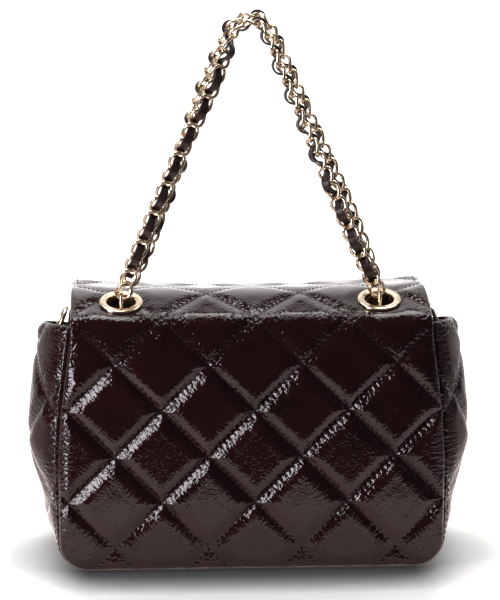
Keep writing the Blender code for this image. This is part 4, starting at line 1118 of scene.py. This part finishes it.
@once
def thread_material(name):
    look = settings().leather
    material, tree, shader = new_material(name, look.thread, 0.42)
    twist = noise_node(tree, object_vector(tree), 3600.0)
    bump(tree, shader, twist, 0.00005)
    tones(tree, shader, twist, look.thread, 0.35)
    return material


# Operators

class Step:
    """What all the operators share."""
    bl_options = {"REGISTER", "UNDO"}


class BAG_OT_cover(Step, bpy.types.Operator):
    """Quilted leather of the back, the shoulder and the flap, in two skins that meet on top of the flap"""
    bl_idname = "bag.cover"
    bl_label = "Cover"

    def execute(self, context):
        back = CoverSkin((-WIDEST, 0.0), (WIDEST, SPLIT_RUN), section_bend(),
                         holes=eyelet_holes(EYELET_FLANGE_RADIUS + HOLE_MARGIN))
        quilted("cover_back", back.mesh(), HINGE, ("back_panel", "shoulder_panel"), FLAP_THICKNESS)
        sewn("cover_back_stitches", seam_lines(back), HINGE)
        drop = FlapSkin((-FLAP_HALF_WIDTH, SPLIT_RUN), (FLAP_HALF_WIDTH, SECTION.length), section_bend(),
                        edges=flap_outline(0.0).edges())
        quilted("cover_flap", drop.mesh(), FOLD, ("flap_top_panel", "flap_drop_panel"), FLAP_THICKNESS)
        sewn("cover_flap_stitches", seam_lines(drop) + [flap_row(drop)], FOLD)
        return {"FINISHED"}


def eyelet_holes(radius):
    return [(Vector((side * EYELET_X, EYELET_RUN)), radius) for _, side in SIDES]


def flap_outline(inset):
    half, end = FLAP_HALF_WIDTH - inset, SECTION.length - inset
    return Path(((-half, SPLIT_RUN), (-half, end), (half, end), (half, SPLIT_RUN)),
                (FLAP_CORNER_RADIUS - inset,) * 2)


def flap_row(skin):
    """A row of stitches round the flap's free edge."""
    path = flap_outline(FLAP_HEM)

    def place_at(distance):
        place = path.at(distance)[0]
        here = skin.at(place, THREAD_LIFT)
        return here, (skin.at(place, PROBE[2]) - here).normalized()
    return place_at, path.length


class BAG_OT_linings(Step, bpy.types.Operator):
    """Smooth leather that faces the shoulder and the flap from inside"""
    bl_idname = "bag.linings"
    bl_label = "Linings"

    def execute(self, context):
        half = FLAP_HALF_WIDTH - LINING_INSET
        back = Skin((-half, MOUTH_RUN + GAP), (half, SPLIT_RUN), section_bend(BACK_THICKNESS + GAP),
                    puff=0.0, rim=0.0, holes=eyelet_holes(LINING_HOLE_RADIUS))
        drop = Skin((-half, SPLIT_RUN), (half, SECTION.length - LINING_INSET), section_bend(FLAP_THICKNESS + GAP),
                    puff=0.0, rim=0.0, edges=flap_outline(LINING_INSET).edges())
        for name, skin, line, nodes in (
                ("lining_back", back, LINING_HINGE, ("shoulder_lining",)),
                ("lining_flap", drop, LINING_FOLD, ("flap_top_lining", "flap_drop_lining"))):
            add_piece(name, skin.mesh(), facing_material(), line, nodes,
                      thickness=LINING_THICKNESS)
        return {"FINISHED"}


class BAG_OT_walls(Step, bpy.types.Operator):
    """Front wall behind the flap, the two gussets and the bottom"""
    bl_idname = "bag.walls"
    bl_label = "Walls"

    def execute(self, context):
        edges = [straight_edge((0.0, MOUTH_HEIGHT), (0.0, 1.0)), *OUTLINE.edges(PANEL_INSET)]
        front = Skin((-WIDEST, 0.0), (WIDEST, MOUTH_HEIGHT), front_bend, node=(0.0, QUILT_NODE[1]), edges=edges,
                     puff=FRONT_PUFF, holes=[(Vector((0.0, SNAP_HEIGHT)), SNAP_RADIUS + HOLE_MARGIN)])
        quilted("front_wall", flipped(front.mesh()), "bag_body", ("front_panel",), FRONT_THICKNESS - FRONT_SLACK)
        half, height = FRONT_HEM
        hem = edge_run(front, (-half, height), (half, height))
        sewn("front_wall_stitches", seam_lines(front) + [hem], "bag_body")
        for word, side in SIDES:
            self.gusset(word, side)
        bottom = bmesh.new()
        end = GUSSET_END_X - GAP
        box(bottom, (-end, STRIP_BACK_Y, 0.0), (end, STRIP_FRONT_Y, GUSSET_THICKNESS))
        add_piece("bottom", bottom, patent_material(), "bag_body", ("bottom_panel",),
                  bevel=BOTTOM_BEVEL)
        return {"FINISHED"}

    def gusset(self, word, side):
        def bend(place, rise):
            run = slanted(place.y, place.x)
            return gusset_point(run, place.x, rise * (bulge_share(run) if rise > 0 else 1.0), side)
        edges = [straight_edge(*line) for line in (((STRIP_BACK_Y, 0.0), (-1.0, 0.0)),
                                                   ((STRIP_FRONT_Y, 0.0), (1.0, 0.0)), ((0.0, 0.0), (0.0, -1.0)))]
        skin = Skin((STRIP_BACK_Y, 0.0), (STRIP_FRONT_Y, GUSSET_RUN), bend,
                    node=(STRIP_MIDDLE_Y, MOUTH_HEIGHT - QUILT_NODE[1]), edges=edges, puff=GUSSET_PUFF,
                    rim=GUSSET_RIM)
        bm = flipped(skin.mesh()) if side > 0 else skin.mesh()
        quilted(f"{word}_gusset_skin", bm, "bag_body", (f"{word}_gusset",), GUSSET_THICKNESS - GUSSET_SLACK)
        top, foot = GUSSET_HEM, GUSSET_RUN - GUSSET_HEM
        low, high = STRIP_BACK_Y + GUSSET_HEM, STRIP_FRONT_Y - GUSSET_HEM
        hems = [edge_run(skin, *ends) for ends in (((low, top), (high, top)), ((low, top), (low, foot)),
                                                   ((high, top), (high, foot)))]
        sewn(f"{word}_gusset_stitches", seam_lines(skin, GUSSET_SEAM_MARGIN) + hems, "bag_body",
             GUSSET_STITCH_SIZE)


def box(bm, low, high):
    size = Vector(high) - Vector(low)
    middle = (Vector(high) + Vector(low)) / 2
    bmesh.ops.create_cube(bm, size=1.0, matrix=Matrix.Translation(middle) @ Matrix.Diagonal((*size, 1.0)))
    uv = bm.loops.layers.uv.new("Pattern")
    for face in bm.faces:
        for loop in face.loops:
            loop[uv].uv = loop.vert.co.x / SEAM_SPACING, loop.vert.co.y / SEAM_SPACING


POUCH_GAP = 3 * GAP
POUCH_FLOOR = GUSSET_THICKNESS + GAP + BOARD_THICKNESS + GAP
LINING_INNER_BACK = STRIP_BACK_Y + LINING_THICKNESS


class BAG_OT_inside(Step, bpy.types.Operator):
    """Cloth pouch that lines the bag, its slip pocket and the stiffening board under it"""
    bl_idname = "bag.inside"
    bl_label = "Inside"

    def execute(self, context):
        paint("base_board", board_material())
        self.pouch()
        self.pocket()
        return {"FINISHED"}

    def pouch(self):
        top = MOUTH_HEIGHT - LINING_INSET
        start = OUTLINE.find(lambda point: point.y < top)
        end = OUTLINE.length - start
        bm = bmesh.new()
        bmesh.ops.create_grid(bm, x_segments=POUCH_GRID[0], y_segments=POUCH_GRID[1], size=1.0)
        low, high = STRIP_BACK_Y, STRIP_FRONT_Y
        for vert in bm.verts:
            y = low + (high - low) * (vert.co.x + 1) / 2
            vert.co = self.pouch_point(start + (end - start) * (vert.co.y + 1) / 2, y)
        for y in (low, high):
            def on_wall(items):
                return [item for item in items if all(abs(vert.co.y - y) < WELD for vert in item.verts)]
            closing = bmesh.ops.contextual_create(bm, geom=on_wall(bm.edges))
            bmesh.ops.triangulate(bm, faces=closing["faces"])
            for level in range(1, POUCH_LEVELS + 1):
                bisect(bm, on_wall(bm.faces), Vector((0.0, 0.0, level * POUCH_LEVEL)), Vector((0.0, 0.0, 1.0)))
        bmesh.ops.recalc_face_normals(bm, faces=bm.faces[:])
        floor = min(bm.faces, key=lambda face: face.calc_center_median().z)
        if floor.normal.z > 0:
            flipped(bm)
        add_piece("pouch", bm, lining_material(), "bag_body", ("interior_lining",),
                  thickness=LINING_THICKNESS)

    def pouch_point(self, run, y):
        mirrored = run > OUTLINE.length / 2
        run = OUTLINE.length - run if mirrored else run
        place = gusset_point(slanted(min(run, OUTLINE.length / 2), y), y, -GUSSET_THICKNESS - POUCH_GAP,
                             -1 if mirrored else 1, square=True)
        place.z = max(place.z, POUCH_FLOOR)
        return place

    def pocket(self):
        back = LINING_INNER_BACK + GAP
        bm = bmesh.new()
        bmesh.ops.create_grid(bm, x_segments=POCKET_GRID[0], y_segments=POCKET_GRID[1], size=0.5)
        for vert in bm.verts:
            u, v = vert.co.x, vert.co.y
            fullness = max(1 - (2 * u) ** 6, 0.0) * smooth_step((v + 0.5) * 6)
            y = back + LINING_THICKNESS + POCKET_FULLNESS * fullness
            vert.co = u * POCKET_WIDTH, y, POCKET_TOP - POCKET_HEIGHT * (0.5 - v)
        add_piece("pocket", flipped(bm), lining_material(), "bag_body", ("slip_pocket",),
                  thickness=LINING_THICKNESS - POCKET_SLACK)


EYELET_DEPTH = BACK_THICKNESS + GAP + LINING_THICKNESS + WASHER_SLACK + WASHER_THICKNESS
EYELET_OUTER_BORE = EYELET_BORE_RADIUS + EYELET_WALL
HOOK_HEIGHT = SECTION.at(EYELET_RUN)[0].y + HOOK_RISE
CONNECTOR_LOW = HOOK_HEIGHT - CONNECTOR_STRAIGHT


class BAG_OT_eyelets(Step, bpy.types.Operator):
    """Pressed eyelets with their washers, and the long links that stand in them"""
    bl_idname = "bag.eyelets"
    bl_label = "Eyelets"

    def execute(self, context):
        rim, bore, top, foot = EYELET_FLANGE_RADIUS, EYELET_BORE_RADIUS, EYELET_FLANGE, -EYELET_DEPTH
        wall = EYELET_OUTER_BORE
        eyelet = ((bore, foot / 2), (bore, top), (rim, top), (rim, 0.0), (wall, 0.0), (wall, foot), (bore, foot),
                  (bore, foot / 2))
        washer = oblong(wall + GAP, WASHER_RADIUS, foot, foot + WASHER_THICKNESS)
        connector = oblong(CONNECTOR_RADIUS, -CONNECTOR_RADIUS, CONNECTOR_LOW - CONNECTOR_RADIUS,
                           HOOK_HEIGHT + CONNECTOR_RADIUS)
        path = Path(connector, (CONNECTOR_RADIUS - WELD,) * 4)
        for word, side in SIDES:
            place = on_section(side * EYELET_X, EYELET_RUN)
            gold(f"{word}_eyelet_ring", turned(eyelet, EYELET_FILLETS, place), f"{word}_eyelet")
            gold(f"{word}_washer", turned(washer, (WASHER_FILLET,) * 4, place), f"{word}_eyelet_washer")
            line = [Vector((side * EYELET_X, EYELET_Y + point.x, point.y)) for point in path_points(path, WIRE_BEND)]
            gold(f"{word}_connector", wires([line], CONNECTOR_WIRE), f"{word}_connector_link")
        return {"FINISHED"}


TAB_OUTER = RING_WIRE + GAP + TAB_LAYER


def anchor_frame(side, lean):
    """Frame of a back wall anchor: local -Z to the wall, local Y up, leaning forward by an angle."""
    y = LINING_INNER_BACK + GAP + TAB_OUTER
    height = (CONNECTOR_LOW - CONNECTOR_RADIUS + CONNECTOR_WIRE + GAP + RING_WIRE
              - math.sqrt(RING_LENGTH ** 2 - (EYELET_Y - y) ** 2))
    facing = Matrix(((-1.0, 0.0, 0.0), (0.0, 0.0, 1.0), (0.0, 1.0, 0.0))).to_4x4()
    return Matrix.Translation((side * EYELET_X, y, height)) @ facing @ Matrix.Rotation(lean, 4, "X")


def gusset_ring_frame(side, lean):
    """Frame of a gusset's ring: local -Z to the gusset, local Y up, leaning inward by an angle."""
    run = OUTLINE.find(lambda point: point.y < GUSSET_RING_HEIGHT)
    wall = gusset_point(run, STRIP_MIDDLE_Y + TAB_WIDTH / 2, -GUSSET_THICKNESS - POUCH_GAP - LINING_THICKNESS,
                        side, square=True)
    place = Vector((wall.x - side * (GAP + TAB_OUTER), STRIP_MIDDLE_Y, GUSSET_RING_HEIGHT))
    facing = Matrix(((0.0, 0.0, -side), (side, 0.0, 0.0), (0.0, 1.0, 0.0)))
    if facing.determinant() < 0:
        facing = facing @ Matrix.Diagonal((-1.0, 1.0, 1.0))
    return Matrix.Translation(place) @ facing.to_4x4() @ Matrix.Rotation(lean, 4, "X")


class BAG_OT_rings(Step, bpy.types.Operator):
    """Rings inside the bag and the folded leather tabs that hold them"""
    bl_idname = "bag.rings"
    bl_label = "Rings"

    def execute(self, context):
        corners = ((0.0, 0.0), (RING_HALF_WIDTH, 0.0), (RING_HALF_WIDTH, RING_LENGTH),
                   (-RING_HALF_WIDTH, RING_LENGTH), (-RING_HALF_WIDTH, 0.0), (0.0, 0.0))
        bow = RING_HALF_WIDTH - WELD
        points = path_points(Path(corners, (RING_CORNER, bow, bow, RING_CORNER)), WIRE_BEND)
        lean = math.asin((EYELET_Y - LINING_INNER_BACK - GAP - TAB_OUTER) / RING_LENGTH)
        for word, side in SIDES:
            for kind, place, body in (("anchor", anchor_frame(side, lean), "bag_body"),
                                      ("gusset", gusset_ring_frame(side, GUSSET_RING_LEAN), f"{word}_ring")):
                line = [place @ point.to_3d() for point in points]
                gold(f"{word}_{kind}_loop", wires([line], RING_WIRE), f"{word}_{kind}_ring", body)
                add_piece(f"{word}_{kind}_strap", cad_copy(f"{word}_{kind}_tab"), facing_material(),
                          "bag_body", (f"{word}_{kind}_tab",), bevel=STRAP_BEVEL)
        return {"FINISHED"}


def cad_copy(node):
    """A merged copy of a CAD node's mesh."""
    bm = bmesh.new()
    bm.from_mesh(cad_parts[node].data)
    bmesh.ops.remove_doubles(bm, verts=bm.verts[:], dist=WELD * 10)
    bmesh.ops.dissolve_limit(bm, angle_limit=math.radians(1), verts=bm.verts[:], edges=bm.edges[:])
    return bm


ARMS = Path(((-EYELET_X, HOOK_HEIGHT), (0.0, APEX_CORNER_HEIGHT), (EYELET_X, HOOK_HEIGHT)), (APEX_RADIUS,))


class Strand:
    """The line of one strand of the handle: it follows the two arms, beside its twin."""

    def __init__(self, table, side):
        self.table, self.side = table, side
        self.hooks = self.place_hooks()

    def at(self, share):
        point, outer = ARMS.at(share * ARMS.length)
        sideways, spread, _ = smooth_table(self.table, share)
        point = point + outer * sideways * 2 * LINK_HALF_WIDTH
        return Vector((point.x, EYELET_Y + self.side * spread * STRAND_SPREAD, point.y))

    def walk(self, pitch, count):
        """Shares of the strand at the ends of a count of links of one pitch."""
        shares = [0.0]
        for _ in range(count):
            start = self.at(shares[-1])
            shares.append(halved(lambda share: (self.at(share) - start).length > pitch,
                                 shares[-1], shares[-1] + 2 * pitch / ARMS.length)[1])
        return shares

    def place_hooks(self):
        """An odd number of links of one pitch, so that one lies across the top."""
        points = [self.at(index / STRAND_SAMPLES) for index in range(STRAND_SAMPLES + 1)]
        length = sum((after - before).length for before, after in zip(points, points[1:]))
        count = 2 * round((length / LINK_PITCH - 1) / 2) + 1
        pitch = halved(lambda pitch: self.walk(pitch, count)[-1] > 1, LINK_PITCH / 2, 2 * LINK_PITCH, WELD / 10)[0]
        return self.walk(pitch, count)

    def face(self, share, heading):
        """Directions across the strand and out of its face, at its roll."""
        roll = smooth_table(self.table, share)[2] * math.pi / 2
        out = Vector((0.0, -1.0, 0.0))
        out = (out - heading * out.dot(heading)).normalized()
        out = Matrix.Rotation(roll, 3, heading) @ out
        return out.cross(heading), out

    def links(self):
        """Centre line of each twisted link; the strand's two ends stay flat and reach no further than its hooks."""
        count, points = len(self.hooks) - 1, settings().metal.link_points
        for index in range(count):
            start, end = self.at(self.hooks[index]), self.at(self.hooks[index + 1])
            heading = (end - start).normalized()
            share = (self.hooks[index] + self.hooks[index + 1]) / 2
            place = axes((start + end) / 2, heading, *self.face(share, heading))
            ends = [(0.0, 0.0) if index == last else (LINK_WIRE - LINK_BITE, LINK_TWIST)
                    for last in (0, count - 1)]
            line = []
            for number in range(points):
                angle = 2 * math.pi * number / points
                along, wide = squared_off(math.cos(angle)), squared_off(math.sin(angle)) * LINK_HALF_WIDTH
                reach, twist = ends[along > 0]
                line.append(place @ Vector((along * ((end - start).length / 2 + reach),
                                            wide * math.cos(along * twist), wide * math.sin(along * twist))))
            yield line

    def ribbon(self, along):
        """Centre of the ribbon and the way across it, at a distance counted in links."""
        link = int(along)
        before, after = self.hooks[link], self.hooks[link + 1]
        share = before + (after - before) * (along - link)
        heading = (self.at(share + 0.001) - self.at(share - 0.001)).normalized()
        across, out = self.face(share, heading)
        wave = -math.cos(math.pi * along)
        rise = RIBBON_WAVE * wave * RIBBON_FLATNESS / math.sqrt(1 + (RIBBON_FLATNESS ** 2 - 1) * wave ** 2)
        half_width = RIBBON_HALF_WIDTH + RIBBON_WIDENING * abs(wave)
        return self.at(share) + out * rise, across * half_width


def squared_off(value):
    return math.copysign(abs(value) ** LINK_SQUARE, value)


class BAG_OT_handle(Step, bpy.types.Operator):
    """Two strands of twisted links with the leather ribbon laced through them"""
    bl_idname = "bag.handle"
    bl_label = "Handle"

    def execute(self, context):
        for word, table, side in (("front", FRONT_STRAND, -1), ("rear", REAR_STRAND, 1)):
            strand = Strand(table, side)
            nodes = [f"{word}_chain_{part}" for part in ("left", "top", "right")]
            add_piece(f"{word}_links", wires(strand.links(), LINK_WIRE, 2), gold_material(),
                      "handle", nodes, sharp=60)
            self.ribbon(word, strand)
        return {"FINISHED"}

    def ribbon(self, word, strand):
        """The ribbon, from the middle of the second link into the last one."""
        wide, steps = RIBBON_GRID
        count = steps * (len(strand.hooks) - 3) - 1
        bm = bmesh.new()
        bmesh.ops.create_grid(bm, x_segments=wide, y_segments=count, size=0.5)
        for vert in bm.verts:
            centre, across = strand.ribbon(RIBBON_START + (vert.co.y + 0.5) * count / steps)
            vert.co = centre + across * 2 * vert.co.x
        add_piece(f"{word}_lace", bm, ribbon_material(), "handle", (f"{word}_ribbon",),
                  thickness=RIBBON_THICKNESS, bevel=STRAP_BEVEL, sharp=60)


class BAG_OT_snap(Step, bpy.types.Operator):
    """Magnetic snap between the flap and the front wall"""
    bl_idname = "bag.snap"
    bl_label = "Snap"

    def execute(self, context):
        for node in ("snap_socket", "snap_socket_washer", "snap_stud", "snap_stud_washer"):
            paint(node, snap_material())
        return {"FINISHED"}


class BAG_OT_studio(Step, bpy.types.Operator):
    """White floor and backdrop, soft lamps and the camera"""
    bl_idname = "bag.studio"
    bl_label = "Studio"

    def execute(self, context):
        scene = context.scene
        scene.view_settings.view_transform = "Standard"
        self.world(scene)
        self.floor()
        for lamp in LAMPS:
            self.lamp(*lamp)
        self.camera(scene)
        return {"FINISHED"}

    def world(self, scene):
        """White to the camera; the unlit studio to everything else."""
        world = bpy.data.worlds.new("studio")
        world.use_nodes = True
        scene.world = world
        tree = world.node_tree
        dark = settings().studio.dark
        camera = new_node(tree, "LightPath").outputs["Is Camera Ray"]
        colour = ramp(tree, camera, ((0.0, (dark,) * 3), (1.0, (1.0,) * 3)))
        set_inputs(tree, tree.nodes["Background"], Color=colour)

    def floor(self):
        """A sweep that curves up behind the bag; its front edge lies just out of the picture."""
        bm = bmesh.new()
        bmesh.ops.create_grid(bm, x_segments=2, y_segments=40, size=0.5)
        sweep = Path(FLOOR_SWEEP, (FLOOR_CURVE,))
        for vert in bm.verts:
            point, _ = sweep.at((vert.co.y + 0.5) * sweep.length)
            vert.co = vert.co.x * FLOOR_WIDTH, point.x, point.y - FLOOR_DROP
        item = new_object("floor", new_mesh("floor", bm))
        item.data.shade_smooth()
        item.data.materials.append(floor_material())

    def lamp(self, name, place, size, strength, colour):
        """A soft rectangular lamp turned to the bag; strength is how bright its face looks."""
        data = bpy.data.lights.new(name, "AREA")
        data.shape, data.size, data.size_y, data.color = "RECTANGLE", *size, colour
        data.energy = strength * size[0] * size[1] * math.pi
        lamp = new_object(name, data)
        lamp.location = place
        lamp.rotation_euler = (LAMP_TARGET - Vector(place)).to_track_quat("-Z", "Y").to_euler()
        lamp.visible_camera = False

    def camera(self, scene):
        look = settings().studio
        data = bpy.data.cameras.new("camera")
        data.sensor_fit, data.sensor_height = "VERTICAL", 36.0
        data.lens = look.scale * look.distance / MM * data.sensor_height / PICTURE_HEIGHT
        data.clip_start = 0.05
        camera = new_object("camera", data)
        away = Vector((-math.sin(look.azimuth) * math.cos(look.elevation),
                       -math.cos(look.azimuth) * math.cos(look.elevation), math.sin(look.elevation)))
        camera.location = Vector(look.target) + away * look.distance
        camera.rotation_euler = (-away).to_track_quat("-Z", "Y").to_euler()
        scene.camera = camera


@once
def floor_material(name):
    """White floor. To the camera its base colour carries a short painted contact shadow near the bag, and it glows
    with painted light beside the bag; mirrors see a painted warm glow near the bag, and painted shade to the sides;
    both see the backdrop shine at the back."""
    look = settings().studio
    material, tree, shader = new_material(name, (look.floor,) * 3, 0.9)

    def mix(operation, *values):
        return math_node(tree, operation, *values)
    path = new_node(tree, "LightPath")
    camera, glossy = path.outputs["Is Camera Ray"], path.outputs["Is Glossy Ray"]
    x, y, _ = split_vector(tree, object_vector(tree))
    sideways = mix("ABSOLUTE", x)
    # Painted shade in reflections: mirrors see the floor's colour and its warm glow fall off to the sides of the
    # bag.
    painted_mirror_shade = smooth_range(tree, sideways, *PAINTED_MIRROR_SHADE)
    # Painted shadow: to the camera, the floor's base colour is darkened by ambient occlusion near the bag, deepest
    # at its foot.
    painted_shadow_occlusion = new_node(tree, "AmbientOcclusion", Distance=PAINTED_SHADOW_REACH).outputs["AO"]
    shade = mix("MAXIMUM", mix("POWER", painted_shadow_occlusion, PAINTED_SHADOW_POWER), mix("SUBTRACT", 1.0, camera))
    shade = mix("MULTIPLY", shade, mix("MAXIMUM", painted_mirror_shade, mix("SUBTRACT", 1.0, glossy)))
    colour = ramp(tree, glossy, ((0.0, (look.floor,) * 3), (1.0, (look.mirrored,) * 3)))
    far = smooth_range(tree, y, *BACKDROP_RISE)
    # Painted light: to the camera the floor glows faintly by the bag and more beside it, which lifts the shade
    # there.
    beside = mix("MULTIPLY", camera, smooth_range(tree, sideways, *PAINTED_LIGHT_BESIDE))
    # Painted reflection: near the bag the floor glows warm to mirror rays only.
    sheen = mix("MULTIPLY", mix("MULTIPLY", glossy, painted_mirror_shade), look.sheen)
    backdrop = mix("MULTIPLY", mix("MAXIMUM", camera, glossy), mix("MULTIPLY", far, look.backdrop))
    behind = new_node(tree, "NewGeometry").outputs["Backfacing"]
    set_inputs(
        tree, shader, Specular_IOR_Level=0.0, Base_Color=vector_node(tree, "MULTIPLY", colour, shade),
        Emission_Color=ramp(tree, mix("MAXIMUM", far, camera), ((0.0, PAINTED_REFLECTION_COLOUR), (1.0, WHITE_COLOUR))),
        Emission_Strength=mix("MAXIMUM", mix("MAXIMUM", beside, sheen), backdrop),
        Alpha=mix("SUBTRACT", 1.0, mix("MULTIPLY", behind, camera)))
    return material


OPERATORS = (BAG_OT_cover, BAG_OT_linings, BAG_OT_walls, BAG_OT_inside, BAG_OT_eyelets, BAG_OT_rings,
             BAG_OT_handle, BAG_OT_snap, BAG_OT_studio)


class BAG_PT_panel(bpy.types.Panel):
    """Sizes, colours and the steps that build the bag"""
    bl_idname = "BAG_PT_panel"
    bl_label = "Flap Bag"
    bl_space_type = "VIEW_3D"
    bl_region_type = "UI"
    bl_category = "Flap Bag"

    def draw(self, context):
        for group in (settings().leather, settings().metal, settings().studio):
            column = self.layout.column()
            for name in group.__annotations__:
                column.prop(group, name)
        for operator in OPERATORS:
            self.layout.operator(operator.bl_idname)


CLASSES = (LeatherSettings, MetalSettings, StudioSettings, BagSettings, *OPERATORS, BAG_PT_panel)


def register():
    for item in CLASSES:
        bpy.utils.register_class(item)
    bpy.types.Scene.flap_bag = PointerProperty(type=BagSettings)


def unregister():
    del bpy.types.Scene.flap_bag
    for item in reversed(CLASSES):
        bpy.utils.unregister_class(item)


def main():
    register()
    for operator in OPERATORS:
        getattr(bpy.ops.bag, operator.bl_idname.split(".")[1])()


if __name__ == "__main__":
    main()
